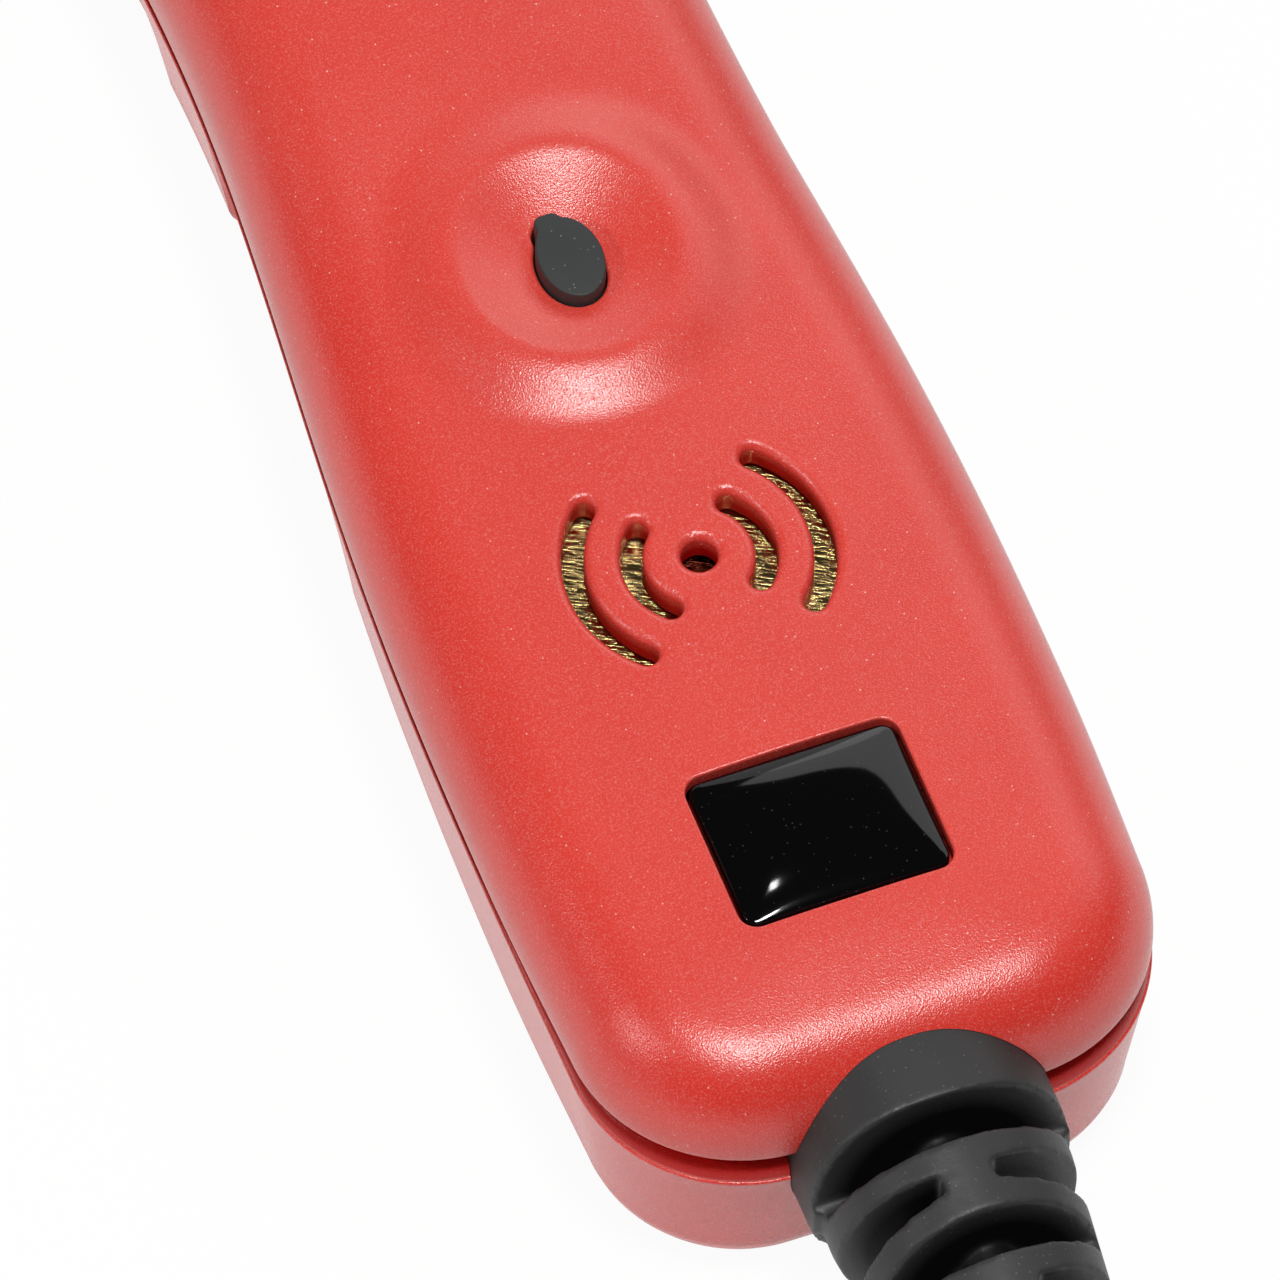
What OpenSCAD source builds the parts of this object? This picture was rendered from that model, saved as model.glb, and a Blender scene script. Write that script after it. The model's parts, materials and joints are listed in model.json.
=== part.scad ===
// Hand-held circuit tester: a red two-part moulded housing with a probe tip at the head, a rocker,
// an indicator, a dished reset button, a sounder behind arc slots and a slotted strain relief.
// Lengths in mm. It lies on its flat underside: +Y to the probe tip, X across, Z up.
// Inside this file, y is counted from the tail wall of the housing until the last shift.

/* [Housing] */
// length of the housing from its tail wall to its nose face
body_l = 184; // [176:1:222]
// widest part of the tail half
body_w = 46.8; // [42:0.2:56.2]
// width at the tail wall, before its corners
tail_w = 45; // [40:0.2:54]
// width at the waist, ahead of the reset button
waist_w = 38.6; // [38:0.2:46]
// width of the head, round the rocker
head_w = 42; // [38:0.5:50]
// width of the nose where the probe collar sits
nose_w = 17; // [16:0.5:22]
// height of the nose
nose_h = 15.4; // [14:0.2:20]
// height of the top face of the tail half above the table
top_z = 28; // [26:0.2:34]
// height of the parting line
part_z = 18.8; // [17:0.2:20]
// wall of both mouldings
wall = 2.2; // [1.6:0.1:2.6]
// plan radius of the tail corners
tail_r = 13.5; // [11:0.5:14]
// how far the tail wall bows out at its middle
tail_bow = 0.1; // [0:0.1:1.5]
// radius of the rolled top edge
roll_r = 8; // [6:0.25:9]
// radius of the bottom edge
foot_r = 5; // [3:0.25:6]
// rise of the crowned top face over its edges
crown = 0.8; // [0.2:0.1:1.4]
// distance from the tail wall to the widest place
wide_y = 31; // [26:1:34]
// distance from the tail wall to the waist
waist_y = 105; // [100:1:112]
// how late the grip tapers between those two, 1 being an even taper
taper_late = 1.3; // [1:0.1:1.6]
// distance from the widest place of the head to the nose face
head_back = 42; // [38:1:48]

/* [Shadow groove and lip] */
// height of the groove between the mouldings along the sides
groove_side = 0.8; // [0.4:0.1:1]
// height from the parting line to the wall of the lower moulding at the tail
groove_tail = 3.2; // [1.8:0.1:3.6]
// how far the shoulder of the lower moulding rounds in under the groove at the tail
shoulder = 0.75; // [0.3:0.05:0.9]
// how far the lip of the lower moulding stands in from its outside
lip_in = 1.2; // [1:0.1:1.3]
// thickness of the lip
lip_t = 0.8; // [0.6:0.1:0.9]
// how far the lip reaches up inside the upper moulding
lip_up = 1.6; // [1:0.1:2.4]
// clearance between the lip and the upper moulding
lip_gap = 0.2; // [0.1:0.05:0.4]

/* [Finger hollows of the lower moulding] */
// how far the side walls lean in at the tail, from the parting line down
lean_tail = 1.4; // [0.8:0.1:1.8]
// how far they lean in beside the sounder
lean_mid = 1.8; // [1.4:0.1:2.2]
// how far they lean in where a hollow is deepest, at its step
lean_deep = 3.6; // [3:0.1:3.8]
// how far they lean in on the swells ahead of the steps
lean_swell = 2.2; // [1.8:0.1:2.6]
// distance from the tail wall to the step of the first hollow
step_a_y = 74; // [72:0.5:76]
// distance from the tail wall to the step of the second hollow
step_b_y = 100; // [98:0.5:102]
// length of each step
step_l = 1; // [0.8:0.1:1.6]
// distance from the tail wall to the heel ahead of the second hollow
heel_y = 113; // [111:0.5:115]

/* [Reset button and its dish] */
// distance from the tail wall to the button
button_y = 73.6; // [71:0.1:76]
// width of the oval button
button_w = 5.0; // [4.4:0.1:5.6]
// length of the oval button
button_l = 7.6; // [6.8:0.1:8.4]
// width of the small squarish nub at the head end of the button
nub_w = 2.1; // [1.6:0.1:2.4]
// corner radius of the nub
nub_r = 0.7; // [0.5:0.05:0.75]
// distance from the centre line to the nub
nub_x = 0.55; // [0:0.05:0.9]
// how far the nub stands out from the oval's end
nub_out = 0.2; // [0.1:0.05:0.6]
// how far the button stands above the floor of the dish
button_up = 2.0; // [1.6:0.1:2.6]
// travel of the button when it is pressed
button_travel = 1.1; // [0.8:0.1:1.2]
// clearance round the button in its hole
button_gap = 0.3; // [0.2:0.05:0.45]
// distance from the button to the centre of its dish, towards the head
dish_ahead = 0.6; // [0:0.1:0.8]
// radius of the rim of the dish
dish_r = 9.3; // [8.6:0.1:10]
// depth of the dish
dish_d = 2.2; // [1.6:0.1:2.4]
// radius over which the bottom of the dish turns into its straighter wall
dish_turn = 4; // [3:0.5:6]
// rounding of the rim of the dish
dish_rim = 0.5; // [0.3:0.1:1.4]
// rise of the mound and of the head above the tail half
mound_up = 1.6; // [1:0.1:2]
// radius where the flank of the mound ends
mound_r = 15.4; // [14.6:0.2:16.4]
// distance from the dish's centre over which the edges rise to the raised head
head_spread = 26; // [20:1:34]

/* [Sound slots] */
// distance from the tail wall to the centre of the slots
sound_y = 46.4; // [44:0.1:48]
// diameter of the centre hole
sound_hole_d = 2.8; // [2:0.1:3.4]
// mean radius of the inner pair of arc slots
arc_in_r = 5.1; // [4.6:0.1:5.4]
// mean radius of the outer pair of arc slots
arc_out_r = 9.5; // [9:0.1:10]
// width of the arc slots
arc_w = 1.7; // [1.4:0.1:2]
// half the angle that each arc slot spans
arc_half = 45; // [38:1:50]
// rounding of the lips of the slots
arc_lip = 0.7; // [0.4:0.1:0.9]

/* [Sounder] */
// diameter of the brass disc
disc_d = 27; // [25:0.5:32.5]
// thickness of the brass disc
disc_t = 0.3; // [0.2:0.05:0.4]
// diameter of the ceramic element under it
ceramic_d = 20; // [16:0.5:21]
// thickness of the ceramic element
ceramic_t = 0.25; // [0.2:0.05:0.4]
// depth of the disc below the top face
disc_depth = 3.1; // [2.9:0.1:3.6]
// height of the holder ring
ring_h = 2.4; // [1.8:0.1:3]

/* [Badge] */
// distance from the tail wall to the centre of the badge
badge_y = 21.4; // [20.4:0.1:22]
// width of the badge
badge_w = 16.2; // [14:0.2:17]
// length of the badge
badge_l = 13.2; // [12:0.2:14]
// corner radius of the badge
badge_r = 1.2; // [0.8:0.1:2]
// clearance round the badge in its recess
badge_gap = 0.3; // [0.2:0.05:0.4]
// depth of the recess below the crown of the top face
badge_depth = 1.3; // [1:0.1:1.5]
// thickness of the badge at the edge
badge_edge = 0.7; // [0.5:0.1:1]
// rise of its domed face
badge_dome = 0.75; // [0.4:0.05:1]

/* [Strain relief] */
// height of the axis of the strain relief
relief_z = 15.9; // [15.6:0.1:16.8]
// height of the collar, and diameter of the cone where it starts
relief_d = 19.4; // [16.2:0.2:20.4]
// width of the collar, which is a squarish oval
collar_w = 20.6; // [19.4:0.2:21.4]
// how squarish the collar is, 2 being a plain oval
collar_square = 2.3; // [2:0.1:3]
// diameter at the cable end
relief_end_d = 10.4; // [10:0.2:12]
// length outside the tail wall
relief_l = 46; // [44:1:48]
// diameter of the sleeve that the slots show, at the housing
sleeve_d = 8.4; // [8:0.1:9.6]
// diameter of the sleeve at the cable end
sleeve_end_d = 7.8; // [7.6:0.1:8]
// radius of the round ridges along the top and the underside of the sleeve
ridge_r = 2.3; // [1.8:0.1:2.6]
// how far the ridges stand out from the sleeve at the housing
ridge_up = 0.8; // [0.4:0.1:1]
// diameter of the cable bore
cable_d = 6; // [5:0.1:6.6]
// width of the slots above and below the sleeve, at the outside
slot_w = 3.9; // [3:0.1:4.2]
// width of the side slots at the outside
side_slot_w = 3.4; // [2.4:0.1:3.6]
// width of all the slots at their roots
slot_root_w = 1.4; // [1:0.1:1.8]
// half the height of the webs left at the sides
side_web = 1.6; // [1.2:0.1:2]
// pitch from one upper slot to the next
slot_pitch = 9.9; // [9.6:0.1:10.4]
// distance from the tail wall to the middle of the first slot
slot_first = 4.6; // [4.2:0.1:5.2]
// number of upper slots
slot_n = 4; // [2:1:4]
// width of the web left between two slots
web_w = 4; // [3:0.1:5]
// clearance of the collar in the tail wall
relief_gap = 0.15; // [0.1:0.05:0.3]
// how far the collar sits in the tail wall
collar_in = 4; // [3.8:0.1:4.2]
// diameter of the neck between the collar and its flange
neck_d = 13.6; // [13:0.2:14.4]
// length of the neck
neck_l = 1.8; // [1.6:0.1:2]
// diameter of the flange inside the housing
flange_d = 16.8; // [16:0.2:17]
// thickness of the flange
flange_t = 2.2; // [1.8:0.1:2.6]

/* [Rocker] */
// distance from the tail wall to the rocker
rocker_y = 122; // [119:0.5:124]
// width of the rocker frame
frame_w = 15; // [14:0.5:18]
// length of the rocker frame
frame_l = 22; // [20:0.5:23]
// height of the frame above the raised head
frame_up = 0.9; // [0.6:0.1:1.4]
// border of the frame round the rocker
frame_rim = 2.4; // [2:0.1:2.8]
// clearance between the rocker and its frame
rocker_gap = 0.35; // [0.3:0.05:0.5]
// height of the tips of the rocker above its frame
rocker_up = 2.0; // [1.4:0.1:2.4]
// angle that the rocker tips each way
rocker_tip = 7; // [4:0.5:8]
// diameter of the pivot pin
pivot_d = 2; // [1.6:0.1:2.4]
// radial clearance of the pivot pin in the rocker
pivot_gap = 0.05; // [0.03:0.01:0.08]
// depth of the switch body under the frame flange
switch_h = 13; // [12:0.5:14]

/* [Indicator] */
// distance from the nose face back to the indicator
lens_back = 36; // [35.6:0.1:36.6]
// diameter of the lens
lens_d = 6; // [5:0.5:7]
// rise of the lens above the head
lens_up = 1.6; // [1:0.1:2]

/* [Probe] */
// height of the probe axis
probe_z = 16; // [15.4:0.1:16.6]
// diameter of the brass socket
socket_d = 8; // [7:0.1:8.6]
// length of the brass socket
socket_l = 22; // [18:1:24]
// diameter of the probe tip's shank
tip_d = 4; // [3.6:0.1:4.4]
// diameter of the slender front of the probe tip
needle_d = 2.6; // [2:0.1:3]
// length of the probe tip ahead of the collar
tip_l = 34; // [28:1:42]
// length of the collar ahead of the nose face
collar_l = 11; // [9:0.5:13]
// diameter of the collar at its front
collar_front_d = 8.4; // [8:0.2:10]
// diameter of the collar's spigot in the nose
spigot_d = 11; // [10.4:0.1:11.6]

/* [Circuit board] */
// width of the board
board_w = 27; // [26:0.5:27.5]
// distance from the tail wall to the board
board_y = 10; // [9.5:0.5:12]
// distance from the board to the nose face
board_back = 32; // [31:0.5:34]
// height of the underside of the board
board_z = 9; // [8:0.1:9.4]
// thickness of the board
board_t = 1.6; // [1.2:0.1:1.8]
// diameter of the rests under the board
rest_d = 4.8; // [4:0.2:6]
// distance from the centre line to the rests
rest_x = 9; // [8:0.5:10]
// width of the relay
relay_w = 14; // [10:0.5:16]
// length of the relay
relay_l = 19; // [14:0.5:21]
// width of the control chip
chip_w = 7.6; // [6:0.2:9]
// length of the control chip
chip_l = 10.4; // [9.2:0.2:12]
// pitch of its legs
leg_pitch = 1.27; // [1:0.01:1.3]
// diameter of the power resistors
resistor_d = 4.4; // [3:0.2:4.6]
// length of the power resistors
resistor_l = 9; // [6:0.5:11]
// distance from the centre line to the power resistors
resistor_x = 9.5; // [8.5:0.5:10]

/* [Screws] */
// distance from the centre line to the screws
screw_x = 12.6; // [12:0.1:13.2]
// distance from the tail wall to the rear screws
screw_tail_y = 15; // [14:0.5:16]
// distance from the nose face back to the front screws
screw_back = 44; // [42:0.5:46]
// diameter of the screw shank
screw_d = 2.9; // [2.6:0.1:3.1]
// diameter of the screw head
screw_head_d = 5.4; // [5:0.1:5.8]
// depth of the screw heads' seats above the underside
screw_deep = 5.5; // [4:0.25:6]
// diameter of the pillars in the upper moulding
pillar_d = 6.8; // [6:0.2:7.2]
// diameter of the posts in the lower moulding
post_d = 7.2; // [6.8:0.2:7.6]

/* [Hidden] */

red = [0.80, 0.20, 0.17];
black = [0.12, 0.12, 0.12];
rubber = [0.16, 0.16, 0.16];
brass = [0.72, 0.60, 0.32];
steel = [0.70, 0.71, 0.73];
cream = [0.90, 0.88, 0.82];
green = [0.10, 0.36, 0.22];
amber = [0.85, 0.75, 0.55];

joint_t = 0.02;
far = 400;
round_end = 84;
head_y = body_l - head_back;
nose_top = probe_z + nose_h / 2;
nose_low = probe_z - nose_h / 2;
edge_z = top_z - crown;
lens_y = body_l - lens_back;
dish_y = button_y + dish_ahead;
front_screw_y = body_l - screw_back;
shift_y = (relief_l - body_l - collar_l - tip_l) / 2;

// plan of the housing

function ease(t) = (1 - cos(180 * min(1, max(0, t)))) / 2;
function blend(y, a, b, from, to) = from + (to - from) * ease((y - a) / (b - a));

function half_w(y) =
    y < wide_y ? blend(y, 0, wide_y, tail_w / 2, body_w / 2)
    : y < waist_y ? blend(pow((y - wide_y) / (waist_y - wide_y), taper_late), 0, 1, body_w / 2, waist_w / 2)
    : y < head_y ? blend(y, waist_y, head_y, waist_w / 2, head_w / 2)
    : blend(y, head_y, body_l, head_w / 2, nose_w / 2);

function run(a, b, n) = [for (k = [0:n - 1]) a + (b - a) * k / n];

// places along the side, closer together at the mound and at the steps of the finger hollows
side_ys = concat(
    run(tail_r + 3, sound_y + 18, 9),
    run(sound_y + 18, step_a_y, 4),
    run(step_a_y, step_a_y + step_l, 1),
    run(step_a_y + step_l, step_b_y, 9),
    run(step_b_y, step_b_y + step_l, 1),
    run(step_b_y + step_l, heel_y, 4),
    run(heel_y, head_y, 7),
    run(head_y, body_l + 1, 9)
);

// right-hand half of the plan, from the tail to the nose; it runs on past the nose face,
// where the mouldings are cut square
tail_flat_x = half_w(tail_r) - tail_r;
function tail_bow_y(x) = -tail_bow * (1 - pow(x / tail_flat_x, 2));
half_plan = concat(
    [for (x = [3, 6, 9]) [x * tail_flat_x / 11.3, tail_bow_y(x * tail_flat_x / 11.3)]],
    [for (k = [0:7]) let (a = -84 + 12 * k)
        [tail_flat_x + tail_r * cos(a), tail_r + tail_r * sin(a)]],
    [for (y = side_ys) [half_w(y), y]],
    [for (k = [1:5]) let (a = 14 * k)
        [nose_w / 2 * cos(a), body_l + 3 + nose_w / 2 * sin(a)]]
);
n_half = len(half_plan);

function unit(v) = v / norm(v);
function outward(i) =
    let (
        p = half_plan[i],
        before = i == 0 ? [-p[0], p[1]] : half_plan[i - 1],
        after = i == n_half - 1 ? [-p[0], p[1]] : half_plan[i + 1],
        d = unit(after - before)
    ) [d[1], -d[0]];
plan_out = [for (i = [0:n_half - 1]) outward(i)];

function inset(i, d) = half_plan[i] - d * plan_out[i];
function spine(i) = [0, min(max(half_plan[i][1], tail_r + 4), body_l + 3)];

// heights of the housing along its length

// the edges rise to the raised head ahead of the button, and fall again to the nose
function head_fade(y) = 1 - ease((y - head_y) / (head_back * 0.7));
function head_up(y) = mound_up * ease((y - dish_y) / head_spread);
function edge_top(y) = blend(y, head_y, body_l, edge_z, nose_top - 0.3) + head_up(y) * head_fade(y);
function bottom(y) = blend(y, head_y, body_l, 0, nose_low);
function crown_at(y) = blend(y, head_y, body_l, crown, 0.3);
function roll_at(y, d) =
    max(0.6, min(roll_r, (edge_top(y) - part_z) * 0.92, half_w(y) * 0.8) - d);
function foot_at(y, d) = max(0.6, blend(y, head_y, body_l, foot_r, nose_h * 0.42) - d);
function groove_at(y) = blend(y, 0, wide_y, groove_tail, groove_side);
function shoulder_at(y) = blend(y, 0, wide_y, shoulder, 0);

// the raised head starts as a round mound about the reset button, which the rising edges take over
function raise(x, y) =
    (mound_up - head_up(y)) * (1 - ease((norm([x, y - dish_y]) - dish_r) / (mound_r - dish_r)));

// how far the side wall of the lower moulding leans in: finger hollows that deepen up to a step
function lean_at(y) = lookup(y, [
    [0, lean_tail], [wide_y, lean_tail + 0.2], [sound_y + 4, lean_mid], [step_a_y - 8, lean_mid],
    [step_a_y - 3, lean_swell], [step_a_y, lean_deep], [step_a_y + step_l, lean_swell + 0.2],
    [step_a_y + 10, lean_swell], [step_b_y - 9, lean_swell + 0.2], [step_b_y, lean_deep],
    [step_b_y + step_l, lean_swell], [heel_y, lean_swell], [heel_y + 6, lean_deep - 0.5],
    [rocker_y + 4, lean_deep - 0.5], [head_y, lean_mid], [body_l, 0.6]
]);

// one ring of the loft: the right half out, the left half back
function ring(half) = concat(half, [for (i = [n_half - 1:-1:0]) [-half[i][0], half[i][1], half[i][2]]]);

// upper moulding: the wall, the rolled edge, then the crowned top drawn in to the centre line
function upper_wall(d, t) = ring([for (i = [0:n_half - 1])
    let (p = inset(i, d), y = half_plan[i][1], zc = edge_top(y) - roll_at(y, 0) * sin(round_end))
        [p[0], p[1], part_z + (zc - part_z) * t]]);
function upper_roll(d, a) = ring([for (i = [0:n_half - 1])
    let (
        y = half_plan[i][1],
        r = roll_at(y, d),
        zc = edge_top(y) - roll_at(y, 0) * sin(round_end),
        p = inset(i, d + r * (1 - cos(a)))
    ) [p[0], p[1], zc + r * sin(a)]]);
function upper_top(d, s) = ring([for (i = [0:n_half - 1])
    let (
        y = half_plan[i][1],
        r = roll_at(y, d),
        zc = edge_top(y) - roll_at(y, 0) * sin(round_end),
        e = inset(i, d + r * (1 - cos(round_end))),
        c = spine(i),
        p = c + s * (e - c),
        z = zc + r * sin(round_end) + crown_at(y) * (1 - s * s) + raise(p[0], p[1]) * (1 - pow(s, 6))
    ) [p[0], p[1], z]]);

// lower moulding: the flat underside, the foot radius, then the leaning wall up to the groove
function lower_flat(d, s) = ring([for (i = [0:n_half - 1])
    let (y = half_plan[i][1], e = inset(i, lean_at(y) + d + foot_at(y, d)), c = spine(i),
        p = c + s * (e - c)) [p[0], p[1], bottom(y) + d]]);
function lower_foot(d, a) = ring([for (i = [0:n_half - 1])
    let (y = half_plan[i][1], r = foot_at(y, d), p = inset(i, lean_at(y) + d + r * (1 - sin(a))))
        [p[0], p[1], bottom(y) + d + r * (1 - cos(a))]]);
function lower_wall(d, t) = ring([for (i = [0:n_half - 1])
    let (
        y = half_plan[i][1],
        z0 = bottom(y) + foot_at(y, 0),
        z1 = part_z - groove_at(y),
        p = inset(i, lean_at(y) * (1 - t) + d)
    ) [p[0], p[1], z0 + (z1 - z0) * t]]);

function lower_shoulder() = ring([for (i = [0:n_half - 1])
    let (y = half_plan[i][1], p = inset(i, shoulder_at(y)))
        [p[0], p[1], part_z - groove_at(y) + max(0.1, shoulder_at(y))]]);

// a closed solid from rings that climb, with the two ends closed across the centre line
module skin(rings) {
    m = 2 * n_half;
    last = (len(rings) - 1) * m;
    sides = [for (k = [0:len(rings) - 2]) for (i = [0:m - 1])
        let (j = (i + 1) % m, a = k * m)
            each [[a + i, a + m + i, a + m + j], [a + i, a + m + j, a + j]]];
    floor_faces = [for (i = [0:n_half - 2]) [i, i + 1, m - 2 - i, m - 1 - i]];
    roof_faces = [for (i = [0:n_half - 2])
        [last + m - 1 - i, last + m - 2 - i, last + i + 1, last + i]];
    polyhedron(points = [for (r = rings) each r], faces = concat(sides, floor_faces, roof_faces));
}

module plan_prism(d, z0, z1) {
    half = [for (i = [0:n_half - 1]) inset(i, d)];
    translate([0, 0, z0])
        linear_extrude(z1 - z0)
            polygon(concat(half, [for (i = [n_half - 1:-1:0]) [-half[i][0], half[i][1]]]));
}

module past_nose() {
    translate([-far / 2, body_l, -far / 2])
        cube([far, far, far]);
}

// shared forms

module along_y(y0, y1, z, r) {
    translate([0, y1, z])
        rotate([90, 0, 0])
            cylinder(h = y1 - y0, r = r, $fn = 64);
}

module block(w, l, z0, z1, y) {
    translate([-w / 2, y - l / 2, z0])
        cube([w, l, z1 - z0]);
}

module rounded_plan(w, l, r) {
    square([w - 2 * r, l], center = true);
    square([w, l - 2 * r], center = true);
    for (sx = [-1, 1])
        for (sy = [-1, 1])
            translate([sx * (w / 2 - r), sy * (l / 2 - r)])
                circle(r, $fn = 32);
}

function oval(w, l) = [for (k = [0:39]) [w / 2 * cos(9 * k), l / 2 * sin(9 * k)]];

// oval of the button with its nub at the head end
module button_plan(g) {
    polygon(oval(button_w + 2 * g, button_l + 2 * g));
    translate([-nub_x, (button_l - nub_w) / 2 + nub_out])
        rounded_plan(nub_w + 2 * g, nub_w + 2 * g, nub_r + g);
}

module at_screws() {
    for (sx = [-1, 1])
        for (y = [screw_tail_y, front_screw_y])
            translate([sx * screw_x, y, 0])
                children();
}

// reset button: levels from the dish down
dish_floor = top_z + mound_up - dish_d;
button_top = dish_floor + button_up;
button_pad_low = dish_floor - wall - 0.2;
button_flange_t = 1.2;
button_foot = button_pad_low - button_flange_t;
breaker_top = button_foot - button_travel - 0.4;
board_top = board_z + board_t;
breaker_low = board_top + 1.4;
breaker_w = 13;
breaker_l = 17;
well_r = 4.2;
well_floor = breaker_low + 1.5;
spring_r = 3.2;
spring_wire = 0.55;
guide_r = 2;

// the dish is a shallow bowl with a straighter wall, whose rim rolls over into the mound
function bowl_z(r) =
    dish_floor + dish_d * (norm([dish_turn, r]) - dish_turn) / (norm([dish_turn, dish_r]) - dish_turn);
module dish_cut() {
    ease_r = dish_r - dish_rim;
    bowl = [for (k = [0:8]) let (r = ease_r * k / 8) [r, bowl_z(r)]];
    rim_slope = (bowl_z(ease_r) - bowl_z(ease_r - 0.01)) / 0.01;
    rim = [for (k = [1:6]) let (t = k / 6, r = ease_r + 2 * dish_rim * t)
        [r, bowl_z(ease_r) + rim_slope * dish_rim * (2 * t - t * t)]];
    rotate_extrude($fn = 96)
        polygon(concat(bowl, rim, [[ease_r + 2 * dish_rim, top_z + 6], [0, top_z + 6]]));
}

// arc slot with a rounded lip: a section swept through the angle, with a turned end at each end
function lip_section(w, lip, z0, z1, half) = concat(
    half ? [[0, z0]] : [[-w / 2, z0]],
    [[w / 2, z0], [w / 2, z1 - lip]],
    [for (k = [1:5]) [w / 2 + lip * (1 - cos(18 * k)), z1 - lip + lip * sin(18 * k)]],
    [[w / 2 + lip, z1 + 1]],
    half ? [[0, z1 + 1]] : concat(
        [[-w / 2 - lip, z1 + 1]],
        [for (k = [5:-1:1]) [-w / 2 - lip * (1 - cos(18 * k)), z1 - lip + lip * sin(18 * k)]],
        [[-w / 2, z1 - lip]]
    )
);
module arc_slot(r, z0, z1, side) {
    rotate([0, 0, side > 0 ? -arc_half : 180 - arc_half])
        rotate_extrude(angle = 2 * arc_half, $fn = 96)
            translate([r, 0])
                polygon(lip_section(arc_w, arc_lip, z0, z1, false));
    for (a = [-arc_half, arc_half])
        rotate([0, 0, side > 0 ? a : 180 + a])
            translate([r, 0, 0])
                rotate_extrude($fn = 32)
                    polygon(lip_section(arc_w, arc_lip, z0, z1, true));
}

// height of the top face on a circle round the slots, where the lips start
function slot_face(x) = top_z - crown * pow(x / (body_w / 2 - roll_r), 2);

// sounder: seat and skirt under the top face; a wider disc sits lower, under the rolled edge
seat_r = disc_d / 2 - 1.2;
skirt_r = disc_d / 2 + 1.4;
skirt_t = 1.2;
roof_r = roll_r - wall;
roof_out = max(0, skirt_r - half_w(sound_y) + roll_r);
roof_at_skirt = edge_z - roll_r * sin(round_end) + sqrt(roof_r * roof_r - roof_out * roof_out);
disc_top = min(top_z - disc_depth, roof_at_skirt - 0.1);
disc_low = disc_top - disc_t;
ring_low = disc_low - ring_h;

// rocker: levels
head_z = top_z + mound_up;
rocker_seat_z = head_z - 1;
frame_top = head_z + frame_up;
opening_w = frame_w - 2 * frame_rim;
opening_l = frame_l - 2 * frame_rim;
switch_w = frame_w - 2;
switch_l = frame_l - 2;
switch_low = rocker_seat_z - switch_h;
pivot_z = frame_top - 1.2;

// strain relief: its seat in the tail wall, a rib in each moulding that fills its neck
relief_in = collar_in + neck_l + flange_t;
rib_over = 2;
module collar_form(y0, y1, g) {
    power = 2 / collar_square;
    translate([0, y1, relief_z])
        rotate([90, 0, 0])
            linear_extrude(y1 - y0)
                polygon([for (a = [0:5:355]) [
                    sign(cos(a)) * pow(abs(cos(a)), power) * (collar_w / 2 + g),
                    sign(sin(a)) * pow(abs(sin(a)), power) * (relief_d / 2 + g)
                ]]);
}
module relief_seat() {
    collar_form(-4, collar_in, relief_gap);
    along_y(collar_in - 1, relief_in + 1, relief_z, neck_d / 2 + relief_gap);
}
module relief_rib(z0, z1) {
    rib_start = lip_in + lip_t / 2;
    rib_end = collar_in + neck_l - relief_gap;
    block(collar_w + 2 * rib_over, rib_end - rib_start, z0, z1, (rib_start + rib_end) / 2);
}

// strain relief: where its ridges end, and its radius along its length outside the tail wall
ridge_end = slot_first + (slot_n - 1) * slot_pitch + 3;
cone_y = slot_first + slot_w / 2;
function relief_r(t) = (relief_d + (relief_end_d - relief_d) * max(0, t - cone_y) / (relief_l - cone_y)) / 2;
function sleeve_r(t) = (sleeve_d + (sleeve_end_d - sleeve_d) * t / relief_l) / 2;

// probe: collar and socket levels
socket_y0 = body_l - 5 - socket_l;
strap_w = 6;
strap_t = 0.8;
strap_y = body_l - board_back + 3;

// pieces

module upper_shape() {
    difference() {
        skin(concat(
            [upper_wall(0, 0), upper_wall(0, 1)],
            [for (a = [15, 30, 45, 60, 72]) upper_roll(0, a)],
            [for (s = [1, 0.86, 0.72, 0.58, 0.44, 0.3, 0.16]) upper_top(0, s)]
        ));
        skin(concat(
            [below_parting(), upper_wall(wall, 1)],
            [for (a = [30, 60]) upper_roll(wall, a)],
            [for (s = [1, 0.8, 0.6, 0.4, 0.2]) upper_top(wall, s)]
        ));
    }
}
function below_parting() =
    ring([for (i = [0:n_half - 1]) let (p = inset(i, wall)) [p[0], p[1], part_z - 1]]);

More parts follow.
